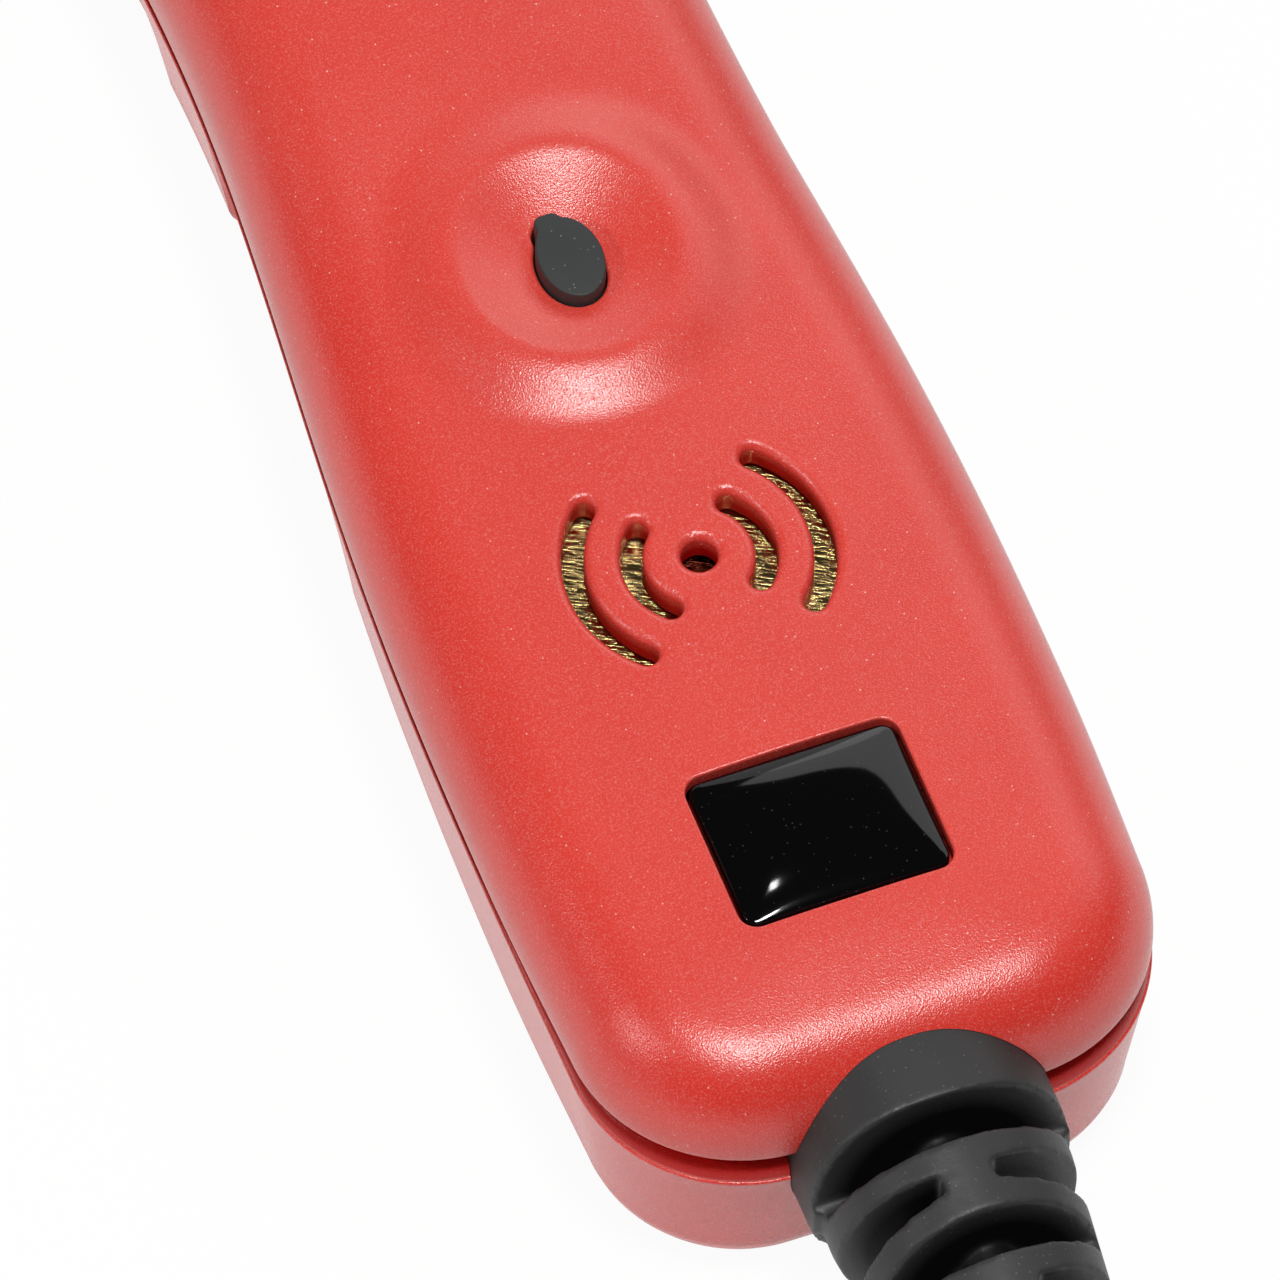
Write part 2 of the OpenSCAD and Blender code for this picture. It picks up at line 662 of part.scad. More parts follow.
module upper_moulding() {
    color(red)
        difference() {
            union() {
                upper_shape();
                // floor of the dish, under the mound
                translate([0, dish_y, button_pad_low])
                    cylinder(h = wall + 0.6, r = dish_r + 0.6, $fn = 64);
                // seat of the brass disc and the skirt round its holder ring
                translate([0, sound_y, 0])
                    rotate_extrude($fn = 96)
                        polygon([[seat_r, disc_top], [skirt_r, disc_top], [skirt_r, ring_low],
                            [skirt_r + skirt_t, ring_low], [skirt_r + skirt_t, edge_z - wall + 0.9],
                            [seat_r, edge_z - wall + 0.9]]);
                // floor of the badge recess
                block(badge_w + 3, badge_l + 3, top_z - badge_depth - 1.4, top_z - wall + 0.3, badge_y);
                // seat of the rocker frame
                block(frame_w + 3, frame_l + 3, rocker_seat_z - 1.8, head_z - wall + 0.4, rocker_y);
                // pillars that take the case screws
                for (sx = [-1, 1])
                    for (y = [screw_tail_y, front_screw_y])
                        translate([sx * screw_x, y, pillar_low])
                            cylinder(h = edge_top(y) - wall + 0.9 - pillar_low, r = pillar_d / 2, $fn = 40);
                // rib that fills the neck of the strain relief
                intersection() {
                    relief_rib(part_z + lip_gap, edge_z);
                    skin(concat(
                        [upper_wall(wall / 2, 0), upper_wall(wall / 2, 1)],
                        [for (a = [30, 60]) upper_roll(wall / 2, a)],
                        [for (s = [1, 0.8, 0.6, 0.4, 0.2]) upper_top(wall / 2, s)]
                    ));
                }
            }
            past_nose();
            // room for the lip of the lower moulding
            difference() {
                plan_prism(lip_in - lip_gap, part_z - 2, part_z + lip_up + lip_gap);
                plan_prism(wall + 0.6, part_z - 3, part_z + lip_up + 1);
            }
            relief_seat();
            // nose: spigot of the probe collar and socket
            along_y(body_l - 5, body_l + 1, probe_z, spigot_d / 2 + 0.1);
            along_y(socket_y0 - 1, body_l - 4, probe_z, socket_d / 2 + 0.1);
            // dish and the hole for the button
            translate([0, dish_y, 0])
                dish_cut();
            translate([0, button_y, button_pad_low - 1])
                linear_extrude(6)
                    button_plan(button_gap);
            // sound slots
            translate([0, sound_y, 0]) {
                for (side = [-1, 1]) {
                    arc_slot(arc_in_r, disc_top - 1, slot_face(arc_in_r), side);
                    arc_slot(arc_out_r, disc_top - 1, slot_face(arc_out_r), side);
                }
                rotate_extrude($fn = 48)
                    polygon(lip_section(sound_hole_d, arc_lip, disc_top - 1, top_z, true));
            }
            // recess for the badge
            translate([0, badge_y, top_z - badge_depth])
                linear_extrude(badge_depth + 3)
                    rounded_plan(badge_w + 2 * badge_gap, badge_l + 2 * badge_gap, badge_r + badge_gap);
            // opening for the rocker frame
            block(frame_w + 0.4, frame_l + 0.4, rocker_seat_z, head_z + 4, rocker_y);
            block(switch_w + 0.4, switch_l + 0.4, rocker_seat_z - 4, head_z + 4, rocker_y);
            // hole for the lens
            translate([0, lens_y, part_z])
                cylinder(h = 20, r = lens_d / 2 + 0.1, $fn = 48);
            translate([0, lens_y, part_z])
                cylinder(h = lens_under - part_z, r = lens_d / 2 + 1.4, $fn = 48);
            // pilot holes for the case screws
            at_screws()
                translate([0, 0, part_z - 7])
                    cylinder(h = 10, r = screw_d / 2 - 0.2, $fn = 32);
        }
}

pillar_low = part_z - 6;
screw_seat = bottom(front_screw_y) + screw_deep;

module lower_moulding() {
    color(red)
        difference() {
            union() {
                difference() {
                    skin(concat(
                        [for (s = [0.2, 1]) lower_flat(0, s)],
                        [for (a = [22.5, 45, 67.5]) lower_foot(0, a)],
                        [lower_wall(0, 0), lower_wall(0, 1), lower_shoulder()]
                    ));
                    skin(concat(
                        [for (s = [0.2, 1]) lower_flat(wall, s)],
                        [for (a = [45]) lower_foot(wall, a)],
                        [lower_wall(wall, 0), lower_wall(wall, 1.15)]
                    ));
                }
                // lip that stands up inside the upper moulding
                difference() {
                    plan_prism(lip_in, part_z - groove_tail - 0.6, part_z + lip_up);
                    plan_prism(lip_in + lip_t, part_z - groove_tail - 3, part_z + lip_up + 1);
                }
                // posts for the case screws
                at_screws()
                    translate([0, 0, wall * 0.5])
                        cylinder(h = pillar_low - wall * 0.5, r = post_d / 2, $fn = 40);
                // rests for the circuit board
                for (sx = [-1, 1])
                    for (y = [board_y + 16, rocker_y - 16])
                        translate([sx * rest_x, y, wall * 0.5])
                            cylinder(h = board_z - wall * 0.5, r = rest_d / 2, $fn = 32);
                // rib that fills the neck of the strain relief
                intersection() {
                    relief_rib(wall / 2, part_z - lip_gap);
                    skin(concat(
                        [for (s = [0.2, 1]) lower_flat(wall / 2, s)],
                        [lower_foot(wall / 2, 45), lower_wall(wall / 2, 0), lower_wall(wall / 2, 1.4)]
                    ));
                }
            }
            past_nose();
            relief_seat();
            along_y(body_l - 5, body_l + 1, probe_z, spigot_d / 2 + 0.1);
            along_y(socket_y0 - 1, body_l - 4, probe_z, socket_d / 2 + 0.1);
            // counterbores and holes for the case screws
            at_screws() {
                translate([0, 0, -1])
                    cylinder(h = screw_seat + 1, r = screw_head_d / 2 + 0.3, $fn = 32);
                cylinder(h = 20, r = screw_d / 2 + 0.2, $fn = 32);
            }
        }
}

// a slot that widens from its root to the outside
module wedge_slot(root, w, s) {
    out = relief_d / 2;
    wide = w / 2 + (w - slot_root_w) / 2 * 0.3;
    reach = out + (out - root) * 0.3;
    polygon([[-slot_root_w / 2, s * root], [slot_root_w / 2, s * root],
        [wide, s * reach], [-wide, s * reach]]);
}

module strain_relief() {
    color(rubber)
        difference() {
            union() {
                difference() {
                    union() {
                        // flange, neck and cone as one turned form
                        translate([0, 0, relief_z])
                            rotate([90, 0, 0])
                                rotate_extrude($fn = 96)
                                    polygon([
                                        [0, -relief_in], [flange_d / 2, -relief_in],
                                        [flange_d / 2, -collar_in - neck_l],
                                        [neck_d / 2, -collar_in - neck_l],
                                        [neck_d / 2, 0], [relief_d / 2, 0], [relief_d / 2, cone_y],
                                        [relief_r(relief_l - 1.2), relief_l - 1.2],
                                        [relief_r(relief_l) - 1, relief_l], [0, relief_l]
                                    ]);
                        // oval collar, which ends at the first slot
                        collar_form(-slot_first, collar_in, 0);
                    }
                    // slots above and below, which leave a web at each side
                    for (k = [0:slot_n - 1])
                        for (s = [-1, 1])
                            translate([-far / 16, -slot_first - k * slot_pitch, relief_z])
                                rotate([90, 0, 90])
                                    linear_extrude(far / 8)
                                        wedge_slot(side_web, slot_w, s);
                    // slots at the sides, between those, which leave a web above and below
                    for (k = [0:slot_n - 2])
                        for (s = [-1, 1])
                            translate([0, -slot_first - (k + 0.5) * slot_pitch, relief_z - far / 16])
                                linear_extrude(far / 8)
                                    rotate([0, 0, -90])
                                        wedge_slot(web_w / 2, side_slot_w, s);
                }
                // sleeve that the slots lay bare, with a round ridge above and below
                translate([0, 0, relief_z])
                    rotate([90, 0, 0])
                        rotate_extrude($fn = 64)
                            polygon([[0, 0], [sleeve_r(0), 0], [sleeve_r(relief_l - 1), relief_l - 1],
                                [0, relief_l - 1]]);
                for (s = [-1, 1])
                    along_y(-ridge_end, 0, relief_z + s * (sleeve_d / 2 + ridge_up - ridge_r), ridge_r);
            }
            along_y(-relief_l - 1, relief_in + 1, relief_z, cable_d / 2);
        }
}

module badge() {
    dome_r = (pow(norm([badge_w, badge_l]) / 2, 2) + pow(badge_dome, 2)) / (2 * badge_dome);
    color(black)
        translate([0, badge_y, top_z - badge_depth])
            intersection() {
                linear_extrude(badge_edge + badge_dome + 1)
                    rounded_plan(badge_w, badge_l, badge_r);
                translate([0, 0, badge_edge + badge_dome - dome_r])
                    sphere(dome_r, $fn = 480);
            }
}

module reset_button() {
    color(black)
        translate([0, button_y, 0]) {
            translate([0, 0, button_foot + 0.6])
                linear_extrude(button_top - button_foot - 0.9)
                    button_plan(0);
            translate([0, 0, button_top - 0.4])
                linear_extrude(0.4)
                    button_plan(-0.25);
            // shoulder under the wall of the dish, and the guide down into the breaker
            translate([0, 0, button_foot])
                linear_extrude(button_flange_t)
                    polygon(oval(button_w + 2.6, button_l + 2.6));
            translate([0, 0, well_floor + button_travel + 0.5])
                cylinder(h = button_foot - well_floor - button_travel, r = guide_r, $fn = 40);
        }
}

// coil swept round its axis: eight-sided wire, flat ground ends left plain
spring_low = well_floor;
spring_high = button_foot;
spring_turns = 5;
function coil_point(a, b) =
    let (
        t = a / (360 * spring_turns),
        z = spring_low + spring_wire / 2 + (spring_high - spring_low - spring_wire) * t
    ) [(spring_r + spring_wire / 2 * cos(b)) * cos(a), (spring_r + spring_wire / 2 * cos(b)) * sin(a),
        z + spring_wire / 2 * sin(b)];
module breaker_spring() {
    n = spring_turns * 12;
    color(steel)
        translate([0, button_y, 0])
            polyhedron(
                points = [for (k = [0:n]) for (j = [0:7]) coil_point(30 * k, 45 * j)],
                faces = concat(
                    [for (k = [0:n - 1]) for (j = [0:7]) let (a = 8 * k + j, b = 8 * k + (j + 1) % 8)
                        each [[a, b, b + 8], [a, b + 8, a + 8]]],
                    [[for (j = [7:-1:0]) j], [for (j = [0:7]) 8 * n + j]]
                )
            );
}

module breaker_body() {
    color(black)
        difference() {
            union() {
                block(breaker_w, breaker_l, breaker_low, breaker_top - 2, button_y);
                translate([0, button_y, breaker_low])
                    cylinder(h = breaker_top - breaker_low, r = well_r + 1.3, $fn = 64);
            }
            translate([0, button_y, well_floor])
                cylinder(h = 30, r = well_r, $fn = 64);
        }
}

module breaker_terminals() {
    color(brass)
        for (s = [-1, 1])
            translate([-3, button_y + s * 5.5 - 0.4, board_top])
                cube([6, 0.8, breaker_low - board_top]);
}

module sounder_disc() {
    color(brass)
        translate([0, sound_y, disc_low])
            cylinder(h = disc_t, r = disc_d / 2, $fn = 96);
}

module sounder_ceramic() {
    color(cream)
        translate([0, sound_y, disc_low - ceramic_t])
            cylinder(h = ceramic_t, r = ceramic_d / 2, $fn = 96);
}

module sounder_ring() {
    color(black)
        translate([0, sound_y, 0])
            rotate_extrude($fn = 96)
                polygon([[seat_r - 0.6, ring_low], [skirt_r - 0.1, ring_low],
                    [skirt_r - 0.1, disc_top - 0.1], [disc_d / 2 + 0.15, disc_top - 0.1],
                    [disc_d / 2 + 0.15, disc_low], [seat_r - 0.6, disc_low]]);
}

// rocker: a two-faced cap that tips on a cross pin
module rocker_cap() {
    w = opening_w - 2 * rocker_gap;
    l = opening_l - 2 * rocker_gap;
    tip_z = frame_top + rocker_up;
    color(black)
        difference() {
            translate([w / 2, rocker_y, 0])
                rotate([0, -90, 0])
                    linear_extrude(w)
                        polygon(concat(
                            [[tip_z - 0.5, -l / 2], [tip_z, -l / 2 + 0.7], [frame_top + 0.5, 0],
                                [tip_z, l / 2 - 0.7], [tip_z - 0.5, l / 2], [pivot_z + 0.2, l / 2]],
                            [for (k = [1:9]) let (a = 18 * k)
                                [pivot_z - 3.6 * sin(a), l / 2 * 0.8 * cos(a)]],
                            [[pivot_z + 0.2, -l / 2]]
                        ));
            translate([-w, rocker_y, pivot_z])
                rotate([0, 90, 0])
                    cylinder(h = 2 * w, r = pivot_d / 2 + pivot_gap, $fn = 48);
        }
}

module rocker_pin() {
    color(steel)
        translate([-(opening_w / 2 + 1.5), rocker_y, pivot_z])
            rotate([0, 90, 0])
                cylinder(h = opening_w + 3, r = pivot_d / 2, $fn = 48);
}

module rocker_frame() {
    color(black)
        difference() {
            union() {
                translate([0, rocker_y, rocker_seat_z])
                    linear_extrude(frame_top - rocker_seat_z - 0.3)
                        rounded_plan(frame_w, frame_l, 1.2);
                translate([0, rocker_y, frame_top - 0.35])
                    linear_extrude(0.35)
                        rounded_plan(frame_w - 0.6, frame_l - 0.6, 0.9);
                block(switch_w, switch_l, switch_low, rocker_seat_z + 0.5, rocker_y);
            }
            block(opening_w, opening_l, switch_low + 3, frame_top + 1, rocker_y);
            translate([-(opening_w / 2 + 1.5), rocker_y, pivot_z])
                rotate([0, 90, 0])
                    cylinder(h = opening_w + 3, r = pivot_d / 2, $fn = 48);
        }
}

module rocker_contacts() {
    color(brass)
        for (s = [-1, 0, 1])
            translate([-2, rocker_y + s * 6 - 0.4, board_top])
                cube([4, 0.8, switch_low - board_top]);
}

lens_top = edge_top(lens_y) + crown_at(lens_y) + raise(0, lens_y);
lens_under = lens_top - crown_at(lens_y) * 0.1 - wall - 0.35;
module indicator_lens() {
    color(cream)
        translate([0, lens_y, 0]) {
            translate([0, 0, lens_under - 1])
                cylinder(h = lens_top - lens_under + 1, r = lens_d / 2, $fn = 48);
            intersection() {
                translate([0, 0, lens_top - 0.5])
                    cylinder(h = lens_up + 0.5, r = lens_d / 2, $fn = 48);
                translate([0, 0, lens_top + lens_up - (pow(lens_d / 2, 2) + pow(lens_up, 2)) / (2 * lens_up)])
                    sphere((pow(lens_d / 2, 2) + pow(lens_up, 2)) / (2 * lens_up), $fn = 64);
            }
            translate([0, 0, lens_under - 1])
                cylinder(h = 1, r = lens_d / 2 + 1, $fn = 48);
        }
}

module indicator_led() {
    color(amber)
        translate([0, lens_y, board_top]) {
            cylinder(h = lens_under - 1.4 - board_top - 2.2, r = 2.9, $fn = 40);
            translate([0, 0, lens_under - 1.4 - board_top - 2.4])
                sphere(2.4, $fn = 40);
        }
}

module circuit_board() {
    color(green)
        difference() {
            translate([0, 0, board_z])
                linear_extrude(board_t)
                    polygon([[-board_w / 2, board_y], [board_w / 2, board_y],
                        [board_w / 2, front_screw_y - 8], [board_w / 2 - 5, front_screw_y - 3],
                        [board_w / 2 - 5, body_l - board_back + 6],
                        [-board_w / 2 + 5, body_l - board_back + 6],
                        [-board_w / 2 + 5, front_screw_y - 3], [-board_w / 2, front_screw_y - 8]]);
            at_screws()
                cylinder(h = 30, r = post_d / 2 + 0.5, $fn = 40);
        }
}

module polarity_relay() {
    color(black)
        block(relay_w, relay_l, board_top, ring_low - 1.6, sound_y);
}

module control_chip() {
    color(black)
        union() {
            block(chip_w, chip_l, board_top + 0.25, board_top + 2.4, waist_y - 8);
            for (k = [-3:3])
                block(chip_w + 2.6, 0.5, board_top, board_top + 1.1, waist_y - 8 + leg_pitch * k);
        }
}

module power_resistors() {
    color(cream)
        for (s = [-1, 1])
            translate([s * resistor_x, waist_y - 12, board_top + resistor_d / 2])
                rotate([-90, 0, 0])
                    cylinder(h = resistor_l, r = resistor_d / 2, $fn = 32);
}

module tip_strap() {
    color(brass)
        difference() {
            translate([strap_w / 2, 0, 0])
                rotate([0, -90, 0])
                    linear_extrude(strap_w)
                        polygon([
                            [board_top, strap_y - 3.6], [board_top, strap_y],
                            [probe_z + 3, strap_y], [probe_z + 3, strap_y - strap_t],
                            [board_top + strap_t, strap_y - strap_t], [board_top + strap_t, strap_y - 3.6]
                        ]);
            along_y(strap_y - 2, strap_y + 1, probe_z, 1.7);
        }
}

module probe_socket() {
    color(brass)
        difference() {
            union() {
                along_y(socket_y0, body_l - 5, probe_z, socket_d / 2);
                along_y(strap_y, socket_y0 + 1, probe_z, 2.6);
            }
            along_y(socket_y0 + 5, body_l, probe_z, tip_d / 2 + 0.03);
        }
}

module probe_collar() {
    color(black)
        difference() {
            translate([0, body_l, probe_z])
                rotate([-90, 0, 0])
                    rotate_extrude($fn = 64)
                        polygon([[0, -4.9], [spigot_d / 2, -4.9], [spigot_d / 2, 0],
                            [nose_h / 2 - 0.6, 0], [nose_h / 2 - 0.2, 0.6], [nose_h / 2 - 0.2, 2.4],
                            [nose_h / 2 - 0.9, 3.2],
                            [collar_front_d / 2, collar_l - 0.8], [collar_front_d / 2 - 0.8, collar_l],
                            [0, collar_l]]);
            along_y(body_l - 6, body_l + collar_l + 1, probe_z, tip_d / 2 + 0.1);
        }
}

module probe_tip() {
    front = collar_l + tip_l;
    color(steel)
        translate([0, body_l, probe_z])
            rotate([-90, 0, 0])
                rotate_extrude($fn = 64)
                    polygon([[0, -5 - socket_l + 6], [tip_d / 2, -5 - socket_l + 6],
                        [tip_d / 2, collar_l + 6], [needle_d / 2, collar_l + 7.5],
                        [needle_d / 2, front - 9], [0.35, front - 0.3], [0, front]]);
}

module case_screws() {
    color(steel)
        at_screws() {
            difference() {
                translate([0, 0, screw_seat - 2])
                    cylinder(h = 2, r = screw_head_d / 2, $fn = 40);
                translate([0, 0, screw_seat - 2.5])
                    block(3, 0.8, 0, 1.4, 0);
                translate([0, 0, screw_seat - 2.5])
                    block(0.8, 3, 0, 1.4, 0);
            }
            translate([0, 0, screw_seat - joint_t])
                cylinder(h = part_z + 1.5 - screw_seat, r = screw_d / 2 - 0.25, $fn = 40);
        }
}

translate([0, shift_y, 0]) {
    upper_moulding();
    lower_moulding();
    strain_relief();
    badge();
    reset_button();
    breaker_spring();
    breaker_body();
    breaker_terminals();
    sounder_disc();
    sounder_ceramic();
    sounder_ring();
    rocker_cap();
    rocker_pin();
    rocker_frame();
    rocker_contacts();
    indicator_lens();
    indicator_led();
    circuit_board();
    polarity_relay();
    control_chip();
    power_resistors();
    tip_strap();
    probe_socket();
    probe_collar();
    probe_tip();
    case_screws();
}
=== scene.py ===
"""Looks of a hand-held circuit tester: red moulded housing, badge, sounder, reset button, strain relief."""
import json
import math

import bmesh
import bpy
import numpy as np
from bmesh.types import BMEdge, BMVert
from mathutils import Matrix, Vector

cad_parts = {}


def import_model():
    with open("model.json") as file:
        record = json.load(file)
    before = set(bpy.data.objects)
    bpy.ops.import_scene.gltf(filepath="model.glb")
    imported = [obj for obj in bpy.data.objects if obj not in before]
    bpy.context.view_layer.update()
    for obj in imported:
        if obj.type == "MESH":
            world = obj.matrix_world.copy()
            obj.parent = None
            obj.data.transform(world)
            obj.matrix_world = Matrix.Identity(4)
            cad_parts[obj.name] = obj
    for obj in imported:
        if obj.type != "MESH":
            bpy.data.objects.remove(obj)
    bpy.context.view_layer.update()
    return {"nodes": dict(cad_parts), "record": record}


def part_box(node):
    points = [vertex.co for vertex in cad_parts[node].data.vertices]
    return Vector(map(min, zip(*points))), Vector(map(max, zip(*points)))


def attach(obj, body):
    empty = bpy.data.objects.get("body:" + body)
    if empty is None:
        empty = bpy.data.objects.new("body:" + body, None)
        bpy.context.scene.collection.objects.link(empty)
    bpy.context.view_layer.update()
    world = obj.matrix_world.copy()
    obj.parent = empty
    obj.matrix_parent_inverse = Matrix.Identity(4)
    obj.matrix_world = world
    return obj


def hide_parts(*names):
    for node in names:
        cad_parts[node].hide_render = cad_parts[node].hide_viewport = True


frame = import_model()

MM = 0.001

# housing, in mm: y counts from its tail wall to its nose face, z from the table
BODY_L = 184.0
BODY_W = 46.8
TAIL_W = 45.0
WAIST_W = 38.6
HEAD_W = 42.0
NOSE_W = 17.0
NOSE_H = 15.4
TOP_Z = 28.0
PART_Z = 18.8
WALL = 2.2
TAIL_R = 13.5
TAIL_BOW = 0.1
ROLL_R = 8.0
ROLL_END = 84.0
FOOT_R = 5.0
CROWN = 0.8
WIDE_Y = 31.0
WAIST_Y = 105.0
TAPER_LATE = 1.3
HEAD_Y = 142.0
PROBE_Z = 16.0

# how its section changes: the nose's flatter crown and foot, the most that the rolled edge takes of height
# and half width, how soon the head's rise fades towards the nose, and the least radius inside
NOSE_CROWN = 0.3
NOSE_FOOT = 0.42
ROLL_OF_HEIGHT = 0.92
ROLL_OF_WIDTH = 0.8
RISE_FADE = 0.7
LEAST_R = 0.6

# the outline runs on past the nose face, where the skins are cut off; the faces' spine starts inside the tail
SIDE_PAST = 2.0
NOSE_PAST = 3.0
SPINE_IN = 4.0

# shadow groove between the mouldings, and the lip behind it
GROOVE_SIDE = 0.8
GROOVE_TAIL = 3.2
SHOULDER = 1.6
SHOULDER_IN = 0.6
SHOULDER_FOOT = 0.8
SHOULDER_TURN = 80
LEDGE = 1.0
LIP_IN = 1.2
LIP_T = 0.8
LIP_UP = 1.6
LIP_GAP = 0.2
EDGE_R = 0.35
CREASE_R = 0.2

# finger hollows of the lower moulding: places along the side, and how far the wall leans in there
STEP_A_Y = 74.0
STEP_B_Y = 100.0
STEP_L = 1.0
HEEL_Y = 113.0
SOUND_Y = 46.4
LEAN = {
    0: 1.4, WIDE_Y: 1.6, SOUND_Y + 4: 1.8, STEP_A_Y - 8: 1.8, STEP_A_Y - 3: 2.2,
    STEP_A_Y: 3.6, STEP_A_Y + STEP_L: 2.4, STEP_A_Y + 10: 2.2, STEP_B_Y - 9: 2.4,
    STEP_B_Y: 3.6, STEP_B_Y + STEP_L: 2.2, HEEL_Y: 2.2, HEEL_Y + 6: 3.1,
    126: 3.1, HEAD_Y: 1.8, BODY_L: 0.6,
}

# reset button: its oval, and the nub at its head end
BUTTON_Y = 73.6
BUTTON_W = 5.0
BUTTON_L = 7.6
BUTTON_SHORT = 0.3
BUTTON_UP = 2.0
BUTTON_EDGE = 0.18
BUTTON_LIP = 0.4
BUTTON_SKIN_GAP = 0.1
# far enough down to fill the hole, and short of the spring when it is pressed
BUTTON_SKIRT = 2.4
NUB_W = 2.1
NUB_R = 0.7
NUB_X = -0.55
NUB_OUT = 0.2

# mound and dish, whose bowl goes on outside its rim as a flare
DISH_Y = BUTTON_Y + 0.6
DISH_R = 9.3
DISH_D = 2.2
DISH_TURN = 4.0
DISH_RIM = 0.5
DISH_FLARE = 0.6
DISH_FAR = 20
RIM_SOFT = 0.15
MOUND_UP = 1.6
MOUND_R = 15.4
MOUND_HOLD = 6
HEAD_SPREAD = 26.0

# openings of the top face
SOUND_HOLE_R = 1.4
ARC_RADII = (5.1, 9.5)
ARC_W = 1.7
ARC_HALF = 45.0
ARC_LIP = 0.7
ROCKER_Y = 122.0
FRAME_W = 15.0
FRAME_L = 22.0
FRAME_CLEAR = 0.4
FRAME_HOLE_R = 1.3
LENS_Y = 148.0
LENS_R = 3.0
LENS_HOLE_R = LENS_R + 0.1
SMALL_LIP = 0.35
ROOF_DROP = 0.4
OVERLAP = 0.05
CUT_LOW = PART_Z + 2
CUT_HIGH = TOP_Z + 10

# badge of doming resin in its pocket; the rings of its face crowd at its bead
BADGE_Y = 21.4
BADGE_W = 16.5
BADGE_L = 13.2
BADGE_R = 1.2
BADGE_GAP = 0.3
BADGE_DEPTH = 1.3
BADGE_EDGE = 0.65
BADGE_DOME = 1.12
BADGE_CURL = 2.4
BADGE_BEAD = 0.2
BADGE_TURN = 70
BADGE_RIDGE = 0.15
BADGE_LEAST_R = 0.12
BADGE_RINGS = 30
BADGE_CROWD = 1.3
BADGE_SPLIT = 16
POCKET_LIP = 0.2
POCKET_LEFT = 0.2

# strain relief and screws
RELIEF_Z = 15.9
RELIEF_R = 9.7
RELIEF_L = 46.0
RELIEF_END_R = 5.2
RELIEF_IN = 8.0
CONE_AT = 6.55
COLLAR_W = 20.6
COLLAR_SQUARE = 2.3
COLLAR_GAP = 0.04
COLLAR_IN = 4.0
SCREW_X = 12.6
SCREW_YS = (15.0, 140.0)
SCREW_HEAD_R = 2.7
SCREW_CLEAR = 0.3
SCREW_SEAT = 5.5
UNDER = -1.0

# place of the tail wall in the frame
TAIL_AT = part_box("strain_relief")[1].y / MM - RELIEF_IN

# spacing of the modelled skins in mm, and steps of their curves
STEP_ALONG = 0.5
STEP_ACROSS = 0.4
TAIL_STEPS = 10
ROLL_STEPS = 14
FOOT_STEPS = 8
WALL_STEPS = 6
FLAT_STEPS = 6
EDGE_STEPS = 3
SHOULDER_STEPS = 4
NOSE_STEPS = 7
ARC_STEPS = 40
ARC_END_STEPS = 16
ROUND_STEPS = 48
CORNER_STEPS = 8
LIP_STEPS = 7
BEAD_STEPS = 5
BUTTON_STEPS = 6
BUTTON_REACHES = 1500

# spacing of points round a turn, in degrees
TAIL_TURN = 3
NOSE_TURN = 10
BUTTON_TURN = 3
COLLAR_TURN = 2.5

# the hidden inner faces need few rings: angles of the roll and foot, and shares of the wall's height
WALL_END = 0.96
INNER_ROLL = (55, 25, 0)
INNER_WALL = (0.8, 0.4, 0)
INNER_FOOT = (45, 0)
INNER_FLAT = 3

# tests on a mesh: how near counts as the same place, in mm, and how upright a wall is
WELD = 0.001
ON_PLANE = 1e-5
ON_EDGE = 0.02
OFF_EDGE = 0.005
UPRIGHT = 0.2

# angles between faces, in degrees: over which an edge is shaded sharp or is bevelled, and what counts as flat
SHARP_SKIN = 40
SHARP_STACK = 60
SHARP_NEVER = 180
BEVEL_OVER = 35
FLAT_WITHIN = 2


# plan and heights of the housing, as arrays along its outline

def ease(t):
    """From 0 to 1 along half a cosine wave."""
    return (1 - np.cos(np.pi * np.clip(t, 0, 1))) / 2


def blend(y, a, b, start, end):
    """Eases from start to end as y goes from a to b."""
    return start + (end - start) * ease((y - a) / (b - a))


def half_width(y):
    """Half the housing's width: narrow at the waist, wider at the tail and head."""
    tail = blend(y, 0, WIDE_Y, TAIL_W / 2, BODY_W / 2)
    along = np.clip((y - WIDE_Y) / (WAIST_Y - WIDE_Y), 0, 1) ** TAPER_LATE
    grip = blend(along, 0, 1, BODY_W / 2, WAIST_W / 2)
    head = blend(y, WAIST_Y, HEAD_Y, WAIST_W / 2, HEAD_W / 2)
    nose = blend(y, HEAD_Y, BODY_L, HEAD_W / 2, NOSE_W / 2)
    return np.where(y < WIDE_Y, tail, np.where(y < WAIST_Y, grip, np.where(y < HEAD_Y, head, nose)))


